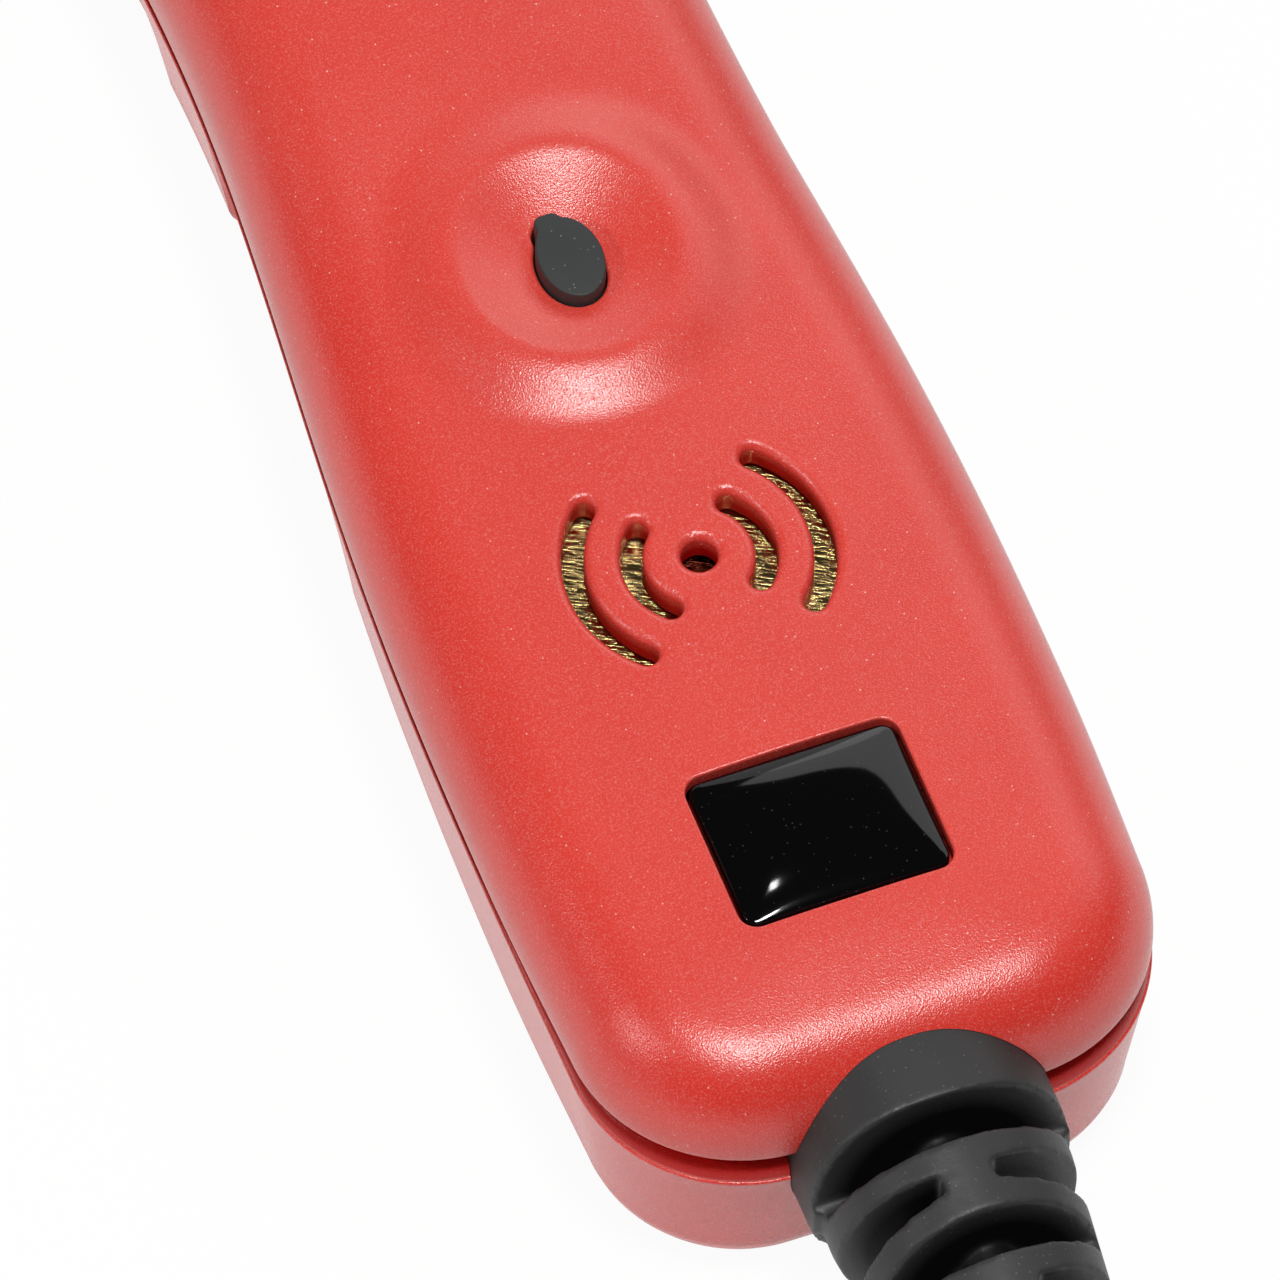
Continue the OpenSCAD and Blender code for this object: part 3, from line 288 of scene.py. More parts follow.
def half_outline():
    """Right half of the plan from the tail to past the nose face, and its outward normals."""
    flat_x = float(half_width(np.array(TAIL_R))) - TAIL_R
    tail_x = (np.arange(TAIL_STEPS) + 0.5) / TAIL_STEPS * flat_x
    tail = np.stack([tail_x, -TAIL_BOW * (1 - (tail_x / flat_x) ** 2)], 1)
    turn = np.radians(np.arange(TAIL_TURN - 90, 1, TAIL_TURN))
    corner = np.stack([flat_x + TAIL_R * np.cos(turn), TAIL_R + TAIL_R * np.sin(turn)], 1)
    side_y = np.arange(TAIL_R + STEP_ALONG, BODY_L + SIDE_PAST, STEP_ALONG)
    side = np.stack([half_width(side_y), side_y], 1)
    bend = np.radians(NOSE_TURN * np.arange(1, NOSE_STEPS + 1))
    nose = np.stack([NOSE_W / 2 * np.cos(bend), BODY_L + NOSE_PAST + NOSE_W / 2 * np.sin(bend)], 1)
    points = np.concatenate([tail, corner, side, nose])
    mirror = points * [-1, 1]
    before = np.concatenate([mirror[:1], points[:-1]])
    after = np.concatenate([points[1:], mirror[-1:]])
    along = after - before
    along /= np.linalg.norm(along, axis=1)[:, None]
    return points, np.stack([along[:, 1], -along[:, 0]], 1)


def head_up(y):
    """Rise of the edges ahead of the button, up to the raised head."""
    return MOUND_UP * ease((y - DISH_Y) / HEAD_SPREAD)


PLAN, OUTWARD = half_outline()
PLAN_Y = PLAN[:, 1]
HEAD_FADE = 1 - ease((PLAN_Y - HEAD_Y) / ((BODY_L - HEAD_Y) * RISE_FADE))
EDGE_TOP = (blend(PLAN_Y, HEAD_Y, BODY_L, TOP_Z - CROWN, PROBE_Z + NOSE_H / 2 - NOSE_CROWN)
            + head_up(PLAN_Y) * HEAD_FADE)
CROWN_AT = blend(PLAN_Y, HEAD_Y, BODY_L, CROWN, NOSE_CROWN)
BOTTOM = blend(PLAN_Y, HEAD_Y, BODY_L, 0, PROBE_Z - NOSE_H / 2)
ROLL_AT = np.minimum(ROLL_R, np.minimum((EDGE_TOP - PART_Z) * ROLL_OF_HEIGHT,
                                        half_width(PLAN_Y) * ROLL_OF_WIDTH))
FOOT_AT = blend(PLAN_Y, HEAD_Y, BODY_L, FOOT_R, NOSE_H * NOSE_FOOT)
GROOVE_AT = blend(PLAN_Y, 0, WIDE_Y, GROOVE_TAIL, GROOVE_SIDE)
SHOULDER_AT = blend(PLAN_Y, 0, WIDE_Y, SHOULDER, 0)
LEAN_AT = np.interp(PLAN_Y, list(LEAN), list(LEAN.values()))
SPINE = np.stack([PLAN_Y * 0, np.clip(PLAN_Y, TAIL_R + SPINE_IN, BODY_L + NOSE_PAST)], 1)
ROLL_SIN = math.sin(math.radians(ROLL_END))
ROLL_COS = math.cos(math.radians(ROLL_END))
ROLL_CENTRE = EDGE_TOP - ROLL_AT * ROLL_SIN
SIDE_RUN = BODY_W / 2 - ROLL_R * (1 - ROLL_COS)


def inset(d):
    """The plan, drawn in by d, which may change along it."""
    return PLAN - np.reshape(d * np.ones(len(PLAN)), (-1, 1)) * OUTWARD


def raised(x, y):
    """Rise of the round mound about the button, which the rising edges take over."""
    r = np.hypot(x, y - DISH_Y)
    return (MOUND_UP - head_up(y)) * (1 - ease((r - DISH_R) / (MOUND_R - DISH_R)))


def dished(x, y, z):
    """The face z with the dish pressed into it: a shallow bowl with a straighter wall and a rolled rim."""
    r = np.hypot(x, y - DISH_Y)
    scale = DISH_D / (math.hypot(DISH_TURN, DISH_R) - DISH_TURN)
    start = DISH_R - DISH_RIM
    inner = TOP_Z + MOUND_UP - DISH_D + scale * (np.hypot(DISH_TURN, np.minimum(r, start)) - DISH_TURN)
    slope = scale * start / math.hypot(DISH_TURN, start)
    t = np.clip((r - start) / (2 * DISH_RIM), 0, 1)
    rim = slope * DISH_RIM * (2 * t - t ** 2)
    rise = DISH_FLARE * np.clip(r - start - 2 * DISH_RIM, 0, DISH_FAR)
    bowl = inner + rim + rise
    mix = np.clip(0.5 + 0.5 * (z - bowl) / RIM_SOFT, 0, 1)
    return z * (1 - mix) + bowl * mix - RIM_SOFT * mix * (1 - mix)


# rings of the skins: each is the right half of a ring as an array of points, d inside the outer face

def steps(a, b, n):
    return [a + (b - a) * k / n for k in range(n + 1)]


def turns(first, last, n):
    """Evenly spaced angles, given in degrees and used in radians."""
    return [math.radians(a) for a in steps(first, last, n)]


def level(plan, z):
    return np.column_stack([plan, z * np.ones(len(plan))])


def roll_ring(d, angle):
    """On the upper moulding's rolled edge, so many degrees up its turn."""
    a = math.radians(angle)
    r = np.maximum(LEAST_R, ROLL_AT - d)
    return level(inset(d + r * (1 - math.cos(a))), ROLL_CENTRE + r * math.sin(a))


def top_ring(d, s, dish):
    """On the top face, from its spine at s = 0 to the rolled edge at 1."""
    r = np.maximum(LEAST_R, ROLL_AT - d)
    edge = inset(d + r * (1 - ROLL_COS))
    plan = SPINE + s * (edge - SPINE)
    z = ROLL_CENTRE + r * ROLL_SIN + CROWN_AT * (1 - s * s) + raised(*plan.T) * (1 - s ** MOUND_HOLD)
    return level(plan, dished(*plan.T, z) if dish else z)


def flat_ring(d, s):
    """On the underside, from its spine at s = 0 to the foot at 1."""
    edge = inset(LEAN_AT + d + np.maximum(LEAST_R, FOOT_AT - d))
    return level(SPINE + s * (edge - SPINE), BOTTOM + d)


def foot_ring(d, angle):
    """On the lower moulding's round foot, so many degrees up its turn."""
    a = math.radians(angle)
    r = np.maximum(LEAST_R, FOOT_AT - d)
    return level(inset(LEAN_AT + d + r * (1 - math.sin(a))), BOTTOM + d + r * (1 - math.cos(a)))


def wall_ring(d, t):
    """On the lower moulding's leaning wall, from its foot at t = 0 to the groove at 1."""
    low = BOTTOM + FOOT_AT
    high = PART_Z - GROOVE_AT
    return level(inset(LEAN_AT * (1 - t) + d), low + (high - low) * t)


def upper_rings():
    """The upper moulding's section, from the inside of the roof down to the parting line and up again."""
    across = round(SIDE_RUN / STEP_ACROSS)
    rebate_z = PART_Z + LIP_UP + LIP_GAP
    rings = [top_ring(WALL, s, False) for s in steps(0, 1, FLAT_STEPS)]
    rings += [roll_ring(WALL, a) for a in INNER_ROLL]
    rings += [level(inset(WALL), rebate_z), level(inset(LIP_IN - LIP_GAP), rebate_z)]
    rings += [level(inset(LIP_IN - LIP_GAP), PART_Z)]
    for turn in turns(0, 90, EDGE_STEPS):
        rings.append(level(inset(EDGE_R * (1 - math.sin(turn))), PART_Z + EDGE_R * (1 - math.cos(turn))))
    rings += [roll_ring(0, a) for a in steps(0, ROLL_END, ROLL_STEPS)]
    rings += [top_ring(0, s, True) for s in steps(1, 0, across)[1:]]
    return rings


def lower_rings():
    """The lower moulding's section, from the underside out and up to the lip, then down inside."""
    high = PART_Z - GROOVE_AT
    rings = [flat_ring(0, s) for s in steps(0, 1, FLAT_STEPS)]
    rings += [foot_ring(0, a) for a in steps(0, 90, FOOT_STEPS)[1:]]
    rings += [wall_ring(0, t) for t in steps(0, WALL_END, WALL_STEPS)[1:]]
    for turn in turns(0, 90, EDGE_STEPS):
        rings.append(level(inset(CREASE_R * (1 - math.cos(turn))), high - CREASE_R * (1 - math.sin(turn))))
    for turn in turns(0, SHOULDER_TURN, SHOULDER_STEPS):
        d = CREASE_R * SHOULDER_FOOT + SHOULDER_AT * SHOULDER_IN * (1 - math.cos(turn))
        rings.append(level(inset(d), high + SHOULDER_AT * math.sin(turn)))
    rings += [level(inset(LIP_IN), high + SHOULDER_AT), level(inset(LIP_IN), PART_Z + LIP_UP)]
    rings += [level(inset(LIP_IN + LIP_T), PART_Z + LIP_UP), level(inset(WALL), high - LEDGE)]
    rings += [wall_ring(WALL, t) for t in INNER_WALL]
    rings += [foot_ring(WALL, a) for a in INNER_FOOT]
    rings += [flat_ring(WALL, s) for s in steps(1, 0, INNER_FLAT)[1:]]
    return rings


# mesh helpers

def new_object(name, bm, sharp=SHARP_SKIN):
    """An object of the mesh, shaded smooth but for edges sharper than so many degrees."""
    mesh = bpy.data.meshes.new(name)
    bm.to_mesh(mesh)
    bm.free()
    piece = bpy.data.objects.new(name, mesh)
    bpy.context.scene.collection.objects.link(piece)
    mesh.shade_smooth()
    mesh.set_sharp_from_angle(angle=math.radians(sharp))
    return piece


def place(bm):
    """Takes a mesh from mm, counted from the tail wall, to the frame."""
    bmesh.ops.translate(bm, verts=bm.verts, vec=(0, TAIL_AT, 0))
    bmesh.ops.scale(bm, verts=bm.verts, vec=(MM, MM, MM))
    return bm


def of_kind(grown, kind):
    """The vertices or edges among what an extrusion made."""
    return [g for g in grown if isinstance(g, kind)]


def shown_mesh(piece):
    """A piece's mesh with its modifiers applied; the piece itself goes."""
    shown = piece.evaluated_get(bpy.context.evaluated_depsgraph_get())
    result = bmesh.new()
    result.from_mesh(shown.to_mesh())
    shown.to_mesh_clear()
    bpy.data.objects.remove(piece)
    return result


def skin(rings):
    """A closed skin: a grid laid round the outline and through the rings, welded where it meets itself."""
    half = 0.5
    around = 2 * len(PLAN)
    through = len(rings) - 1
    table = np.array([np.concatenate([r, r[::-1] * [-1, 1, 1]]) for r in rings])
    bm = bmesh.new()
    bmesh.ops.create_grid(bm, x_segments=around, y_segments=through, size=half)
    for v in bm.verts:
        i = round((v.co.x + half) * around) % around
        k = round((v.co.y + half) * through)
        v.co = table[k, i]
    bmesh.ops.remove_doubles(bm, verts=bm.verts, dist=WELD)
    bmesh.ops.bisect_plane(bm, geom=bm.verts[:] + bm.edges[:] + bm.faces[:], dist=ON_PLANE,
                           plane_co=(0, BODY_L, 0), plane_no=(0, 1, 0), clear_outer=True)
    bmesh.ops.holes_fill(bm, edges=[e for e in bm.edges if e.is_boundary], sides=0)
    bmesh.ops.recalc_face_normals(bm, faces=bm.faces)
    return bm


def prism(bm, outline, low, high):
    """Adds an upright prism on a plan outline."""
    base = bm.faces.new([bm.verts.new((x, y, low)) for x, y in outline])
    up = bmesh.ops.extrude_face_region(bm, geom=[base])["geom"]
    bmesh.ops.translate(bm, verts=of_kind(up, BMVert), vec=(0, 0, high - low))


def cut(bm, tools):
    """Takes the tools' volume out of a closed mesh."""
    bmesh.ops.recalc_face_normals(tools, faces=tools.faces)
    body = new_object("cut_body", bm)
    tool = new_object("cut_tool", tools)
    cutter = body.modifiers.new("cut", "BOOLEAN")
    cutter.object = tool
    cutter.operation = "DIFFERENCE"
    cutter.solver = "EXACT"
    result = shown_mesh(body)
    bpy.data.objects.remove(tool)
    return result


# openings in plan: each has a core and a radius about it, so any edge can be found and rolled in

def near_point(x, y):
    return lambda p: Vector((x, y))


def near_arc(radius, side):
    """The nearest point of an arc slot's middle line."""
    def core(p):
        turn = math.atan2(p.y - SOUND_Y, side * p.x)
        turn = max(-math.radians(ARC_HALF), min(math.radians(ARC_HALF), turn))
        return Vector((side * radius * math.cos(turn), SOUND_Y + radius * math.sin(turn)))
    return core


def near_block(y, w, l):
    """The nearest point of a rectangle, which the corners' radius then goes round."""
    def core(p):
        return Vector((max(-w / 2, min(w / 2, p.x)), y + max(-l / 2, min(l / 2, p.y - y))))
    return core


def arc_outline(radius, side, reach):
    """An arc slot with round ends, reach wide to each side of its middle line."""
    half = math.radians(ARC_HALF)
    end = Vector((radius * math.cos(half), radius * math.sin(half)))
    points = []
    for a in steps(-half, half, ARC_STEPS):
        points.append(((radius + reach) * math.cos(a), (radius + reach) * math.sin(a)))
    for a in steps(0, math.pi, ARC_END_STEPS)[1:]:
        points.append((end.x + reach * math.cos(half + a), end.y + reach * math.sin(half + a)))
    for a in steps(half, -half, ARC_STEPS)[1:]:
        points.append(((radius - reach) * math.cos(a), (radius - reach) * math.sin(a)))
    for a in steps(math.pi, 2 * math.pi, ARC_END_STEPS)[1:-1]:
        points.append((end.x + reach * math.cos(a - half), -end.y + reach * math.sin(a - half)))
    return [(side * x, SOUND_Y + y) for x, y in points]


def round_outline(x, y, r):
    angles = [2 * math.pi * k / ROUND_STEPS for k in range(ROUND_STEPS)]
    return [(x + r * math.cos(a), y + r * math.sin(a)) for a in angles]


def block_outline(y, w, l, r, between=1):
    """A rectangle with round corners; its straight sides are split into so many steps."""
    across, along = w - 2 * r, l - 2 * r
    runs = [Vector((0, along)), Vector((-across, 0)), Vector((0, -along)), Vector((across, 0))]
    points = []
    for k, (sx, sy) in enumerate([(1, -1), (1, 1), (-1, 1), (-1, -1)]):
        for turn in turns(-90 + 90 * k, 90 * k, CORNER_STEPS):
            points.append(Vector((sx * (w / 2 - r) + r * math.cos(turn),
                                  y + sy * (l / 2 - r) + r * math.sin(turn))))
        points += [points[-1] + runs[k] * (j / between) for j in range(1, between)]
    return points


def button_outline(grow):
    """The button's oval with its squarish nub at the head end, as the farther of the two each way."""
    points = []
    a, b = BUTTON_W / 2 + grow, (BUTTON_L - BUTTON_SHORT) / 2 + grow
    nub_y = (BUTTON_L - NUB_W) / 2 + NUB_OUT
    flat = NUB_W / 2 - NUB_R
    reach = np.linspace(0, BUTTON_L, BUTTON_REACHES)
    for turn in np.radians(np.arange(0, 360, BUTTON_TURN)):
        x, y = reach * math.cos(turn), reach * math.sin(turn)
        in_oval = (x / a) ** 2 + ((y + BUTTON_SHORT / 2) / b) ** 2 <= 1
        off_x = np.maximum(np.abs(x - NUB_X) - flat, 0)
        off_y = np.maximum(np.abs(y - nub_y) - flat, 0)
        in_nub = np.hypot(off_x, off_y) <= NUB_R + grow
        k = np.flatnonzero(in_oval | in_nub)[-1]
        points.append((x[k], BUTTON_Y + y[k]))
    return points


def roll_in(bm, core, on_rim, lip, end_z, closed=False):
    """Takes an opening's edge inwards round its lip, and then its wall down to end_z."""
    rim = [e for e in bm.edges if e.is_boundary and on_rim(e.verts[0]) and on_rim(e.verts[1])]
    middle = sum(e.verts[0].co.z for e in rim) / len(rim)
    edges = rim if closed else [e for e in rim if e.verts[0].co.z > middle]
    turned = 0.0

    def grow(inwards):
        grown = bmesh.ops.extrude_edge_only(bm, edges=edges)["geom"]
        verts = of_kind(grown, BMVert)
        for v in verts:
            v.co.xy -= (v.co.xy - core(v.co.xy)).normalized() * inwards
        return of_kind(grown, BMEdge), verts

    for turn in turns(0, 90, LIP_STEPS)[1:]:
        edges, verts = grow(lip * (math.sin(turn) - math.sin(turned)))
        for v in verts:
            v.co.z -= lip * (math.cos(turned) - math.cos(turn))
        turned = turn
    edges, verts = grow(0)
    for v in verts:
        v.co.z = end_z
    if closed:
        bmesh.ops.edgeloop_fill(bm, edges=edges)
    else:
        grow(-lip - OVERLAP)


def at_reach(core, reach):
    """Test for the points of an opening's edge: they lie this far from its core."""
    return lambda v: abs((v.co.xy - core(v.co.xy)).length - reach) < ON_EDGE


def by_button(p):
    """True for a point of the button's hole."""
    return math.hypot(p.x, p.y - BUTTON_Y) < BUTTON_L


def upright(face):
    return abs(face.normal.z) < UPRIGHT


def clear_opening(bm, core, reach):
    """Takes out the faces that the cut left inside an opening."""
    gone = []
    for f in bm.faces:
        c = f.calc_center_median()
        away = (c.xy - core(c.xy)).length
        if away < reach - OFF_EDGE or (abs(away - reach) < ON_EDGE and upright(f)):
            gone.append(f)
    bmesh.ops.delete(bm, geom=gone, context="FACES")


def make_upper():
    """The upper moulding's skin: cut through at each opening, whose edge is then rolled in."""
    openings = [(near_point(0, SOUND_Y), SOUND_HOLE_R, ARC_LIP,
                 round_outline(0, SOUND_Y, SOUND_HOLE_R + ARC_LIP))]
    for side in (-1, 1):
        for radius in ARC_RADII:
            outline = arc_outline(radius, side, ARC_W / 2 + ARC_LIP)
            openings.append((near_arc(radius, side), ARC_W / 2, ARC_LIP, outline))
    openings.append((near_point(0, LENS_Y), LENS_HOLE_R, SMALL_LIP,
                     round_outline(0, LENS_Y, LENS_HOLE_R + SMALL_LIP)))
    through = [outline for core, radius, lip, outline in openings]
    through.append(button_outline(BUTTON_SKIN_GAP + BUTTON_LIP))
    through.append(block_outline(ROCKER_Y, FRAME_W + FRAME_CLEAR, FRAME_L + FRAME_CLEAR, FRAME_HOLE_R))

    pocket_r = BADGE_R + BADGE_GAP
    pocket_w, pocket_l = BADGE_W + 2 * BADGE_GAP, BADGE_L + 2 * BADGE_GAP
    pocket = near_block(BADGE_Y, pocket_w - 2 * pocket_r, pocket_l - 2 * pocket_r)
    pocket_z = TOP_Z - BADGE_DEPTH
    pocket_rim = block_outline(BADGE_Y, pocket_w + 2 * POCKET_LIP, pocket_l + 2 * POCKET_LIP,
                               pocket_r + POCKET_LIP)

    tools = bmesh.new()
    for outline in through:
        prism(tools, outline, CUT_LOW, CUT_HIGH)
    prism(tools, pocket_rim, pocket_z + POCKET_LEFT, CUT_HIGH)
    collar_hole(tools)
    bm = cut(skin(upper_rings()), tools)

    for core, radius, lip, outline in openings:
        clear_opening(bm, core, radius + lip)
        roll_in(bm, core, at_reach(core, radius + lip), lip, TOP_Z - WALL - ROOF_DROP)
    clear_opening(bm, pocket, pocket_r + POCKET_LIP)
    roll_in(bm, pocket, at_reach(pocket, pocket_r + POCKET_LIP), POCKET_LIP, pocket_z, closed=True)
    walls = [f for f in bm.faces if upright(f) and by_button(f.calc_center_median())]
    bmesh.ops.delete(bm, geom=walls, context="FACES")
    roll_in(bm, near_point(0, BUTTON_Y), lambda v: by_button(v.co), BUTTON_LIP, TOP_Z - WALL)
    bmesh.ops.recalc_face_normals(bm, faces=bm.faces)
    return new_object("upper_skin", place(bm))


def collar_hole(tools):
    """Squarish oval hole through the tail wall for the strain relief's collar."""
    turn = np.radians(np.arange(0, 360, COLLAR_TURN))
    power = 2 / COLLAR_SQUARE
    across = np.sign(np.cos(turn)) * np.abs(np.cos(turn)) ** power * (COLLAR_W / 2 + COLLAR_GAP)
    up = np.sign(np.sin(turn)) * np.abs(np.sin(turn)) ** power * (RELIEF_R + COLLAR_GAP)
    start = bmesh.ops.create_circle(tools, cap_ends=True, segments=len(turn), radius=1)["verts"]
    for v, x, z in zip(start, across, up):
        v.co = (x, COLLAR_IN, RELIEF_Z + z)
    grown = bmesh.ops.extrude_face_region(tools, geom=list(start[0].link_faces)[:1])["geom"]
    bmesh.ops.translate(tools, verts=of_kind(grown, BMVert), vec=(0, -2 * COLLAR_IN, 0))


def make_lower():
    """The lower moulding's skin, with the collar's hole and the screws' counterbores cut in it."""
    tools = bmesh.new()
    collar_hole(tools)
    for x in (-SCREW_X, SCREW_X):
        for y in SCREW_YS:
            prism(tools, round_outline(x, y, SCREW_HEAD_R + SCREW_CLEAR), UNDER, SCREW_SEAT)
    bm = cut(skin(lower_rings()), tools)
    bmesh.ops.recalc_face_normals(bm, faces=bm.faces)
    return new_object("lower_skin", place(bm))


# smaller pieces

def stack(name, rings):
    """A closed piece from level outlines that climb: the first is its floor and the last its top."""
    bm = bmesh.new()
    base = bm.faces.new([bm.verts.new(p) for p in rings[0]])
    edges = list(base.edges)
    verts = list(base.verts)
    for ring in rings[1:]:
        grown = bmesh.ops.extrude_edge_only(bm, edges=edges)["geom"]
        edges = of_kind(grown, BMEdge)
        lifted = {}
        for v in of_kind(grown, BMVert):
            below = next(e.other_vert(v) for e in v.link_edges if e.other_vert(v) in verts)
            lifted[verts.index(below)] = v
        verts = [lifted[k] for k in range(len(ring))]
        for v, p in zip(verts, ring):
            v.co = p
    bmesh.ops.edgeloop_fill(bm, edges=edges)
    bmesh.ops.recalc_face_normals(bm, faces=bm.faces)
    return new_object(name, place(bm), SHARP_STACK)


def badge_outline(d, r):
    """The badge's outline, drawn in by d, with corners of radius r."""
    return block_outline(BADGE_Y, BADGE_W - 2 * d, BADGE_L - 2 * d, r, BADGE_SPLIT)


def badge_rise(x, y):
    """Height of the resin's face over its edge: a pillow that flattens into the corners."""
    across = max(0.0, 1 - abs(2 * x / BADGE_W) ** BADGE_CURL)
    along = max(0.0, 1 - abs(2 * (y - BADGE_Y) / BADGE_L) ** BADGE_CURL)
    return BADGE_DOME * math.sqrt(across * along)


def make_badge():
    """Doming resin in the recess: a small bead round the edge and a pillow-like face within it."""
    low = TOP_Z - BADGE_DEPTH
    rings = [[(x, y, low) for x, y in badge_outline(0, BADGE_R)]]
    for turn in turns(0, BADGE_TURN, BEAD_STEPS):
        d = BADGE_BEAD * (1 - math.cos(turn))
        z = low + BADGE_EDGE - BADGE_BEAD * (1 - math.sin(turn))
        rings.append([(x, y, z + badge_rise(x, y)) for x, y in badge_outline(d, BADGE_R - d)])
    reach = BADGE_L / 2 - BADGE_RIDGE
    for k in range(1, BADGE_RINGS + 1):
        d = BADGE_BEAD + (reach - BADGE_BEAD) * (k / BADGE_RINGS) ** BADGE_CROWD
        outline = badge_outline(d, max(BADGE_LEAST_R, BADGE_R - d))
        rings.append([(x, y, low + BADGE_EDGE + badge_rise(x, y)) for x, y in outline])
    return stack("badge_dome", rings)


def make_button():
    """Oval push button with its nub: a straight wall, a small rounded edge and a flat top."""
    floor_z = TOP_Z + MOUND_UP - DISH_D
    top = floor_z + BUTTON_UP
    rings = [[(x, y, z) for x, y in button_outline(0)] for z in (floor_z - BUTTON_SKIRT, top - BUTTON_EDGE)]
    for turn in turns(0, 90, BUTTON_STEPS)[1:]:
        rings.append([(x, y, top - BUTTON_EDGE * (1 - math.sin(turn)))
                      for x, y in button_outline(-BUTTON_EDGE * (1 - math.cos(turn)))])
    return stack("button_cap", rings)


def merged_copy(node):
    """A copy of a CAD piece's mesh, whose loose triangles are joined up."""
    bm = bmesh.new()
    bm.from_mesh(frame["nodes"][node].data)
    bmesh.ops.remove_doubles(bm, verts=bm.verts, dist=WELD * MM)
    return bm


def rounded_copy(name, node, voxel, passes):
    """A CAD piece with every edge softly moulded: remeshed finely, then smoothed."""
    piece = new_object(name, merged_copy(node))
    cells = piece.modifiers.new("cells", "REMESH")
    cells.mode = "VOXEL"
    cells.voxel_size = voxel * MM
    softer = piece.modifiers.new("softer", "SMOOTH")
    softer.factor = 0.5
    softer.iterations = passes
    return new_object(name, shown_mesh(piece), SHARP_NEVER)


def edged_copy(name, node, radius):
    """A CAD piece with its sharp edges rounded over."""
    bm = merged_copy(node)
    bmesh.ops.dissolve_limit(bm, angle_limit=math.radians(FLAT_WITHIN), verts=bm.verts, edges=bm.edges)
    edges = [e for e in bm.edges if e.is_manifold and e.calc_face_angle(0) > math.radians(BEVEL_OVER)]
    bmesh.ops.bevel(bm, geom=edges, offset=radius * MM, segments=3, profile=0.5, affect="EDGES",
                    material=-1, clamp_overlap=True)
    return new_object(name, bm)


# finishes

def linear(code):
    """An sRGB hex colour as the linear colour that the shaders take."""
    parts = [int(code[k:k + 2], 16) / 255 for k in (1, 3, 5)]
    return [c / 12.92 if c <= 0.04045 else ((c + 0.055) / 1.055) ** 2.4 for c in parts] + [1.0]


def add(tree, kind, inputs=None, **settings):
    """Adds a shader node with its settings; an input is given a value or the socket that feeds it."""
    node = tree.nodes.new("ShaderNode" + kind)
    for name, value in settings.items():
        setattr(node, name, value)
    for name, value in (inputs or {}).items():
        if isinstance(value, bpy.types.NodeSocket):
            tree.links.new(value, node.inputs[name])
        else:
            node.inputs[name].default_value = value
    return node


def finish_named(name):
    """A new material with its shader and the object's own coordinates."""
    made = bpy.data.materials.new(name)
    made.use_nodes = True
    tree = made.node_tree
    tree.nodes.clear()
    shader = add(tree, "BsdfPrincipled")
    add(tree, "OutputMaterial", {"Surface": shader.outputs["BSDF"]})
    return made, tree, shader, add(tree, "TexCoord").outputs["Object"]


def feed(tree, shader, **links):
    """Leads each socket to the shader's input of that name, its spaces written as underscores."""
    for name, socket in links.items():
        tree.links.new(socket, shader.inputs[name.replace("_", " ")])


def per_mm(size):
    """Texture scale whose cells are this many mm across."""
    return 1 / (size * MM)


def off_axis(tree, place_at, across, minus_axis):
    """How far a point lies from an axis; across keeps only the coordinates that count."""
    flat = add(tree, "VectorMath", {0: place_at, 1: across, 2: minus_axis}, operation="MULTIPLY_ADD")
    return add(tree, "VectorMath", {0: flat.outputs["Vector"]}, operation="LENGTH").outputs["Value"]


# a noise mostly stays between these, so a finish spreads its gloss over them
NOISE_LOW = 0.3
NOISE_HIGH = 0.7

# the sounder's upright axis
ACROSS_UPRIGHT = (1, 1, 0)
MINUS_SOUNDER = (0, -(TAIL_AT + SOUND_Y) * MM, 0)

# red moulding, in mm: pitch and depth of its grain, coarser than the real one so that it shows; its pimples'
# pitch, size in their cell, the lots that have one, and height over the grain; its clouds
GRAIN = 0.15
GRAIN_DEEP = 0.017
PIMPLE = 0.7
PIMPLE_SIZE = 0.15
PIMPLE_FROM = 0.45
PIMPLE_FULL = 0.9
PIMPLE_UP = 0.9
CLOUD = 14.0
# the grain's tips painted pale as painted glints, and the heights over which the top is painted paler as a
# painted sheen
TIP_FROM = 0.5
TIP_FULL = 0.8
TIP_GLINT = 0.3
PAINTED_SHEEN_FROM = 25.6
PAINTED_SHEEN_FULL = 27.6
PAINTED_SHEEN = 0.02
# where shade is painted in: down in the sounder's slots, by their reach and depth under the top, and in the
# groove
SLOT_REACH = 13.0
SLOT_DEEP = 1.7
SLOT_SHALLOW = 1.0
SEAM_SHADE = 0.85
# its index, its specular level in the open and in the shade, and its roughness
RED_IOR = 1.53
RED_SPECULAR = 0.7
SHADED_SPECULAR = 0.08
RED_GLOSS = (0.22, 0.27)


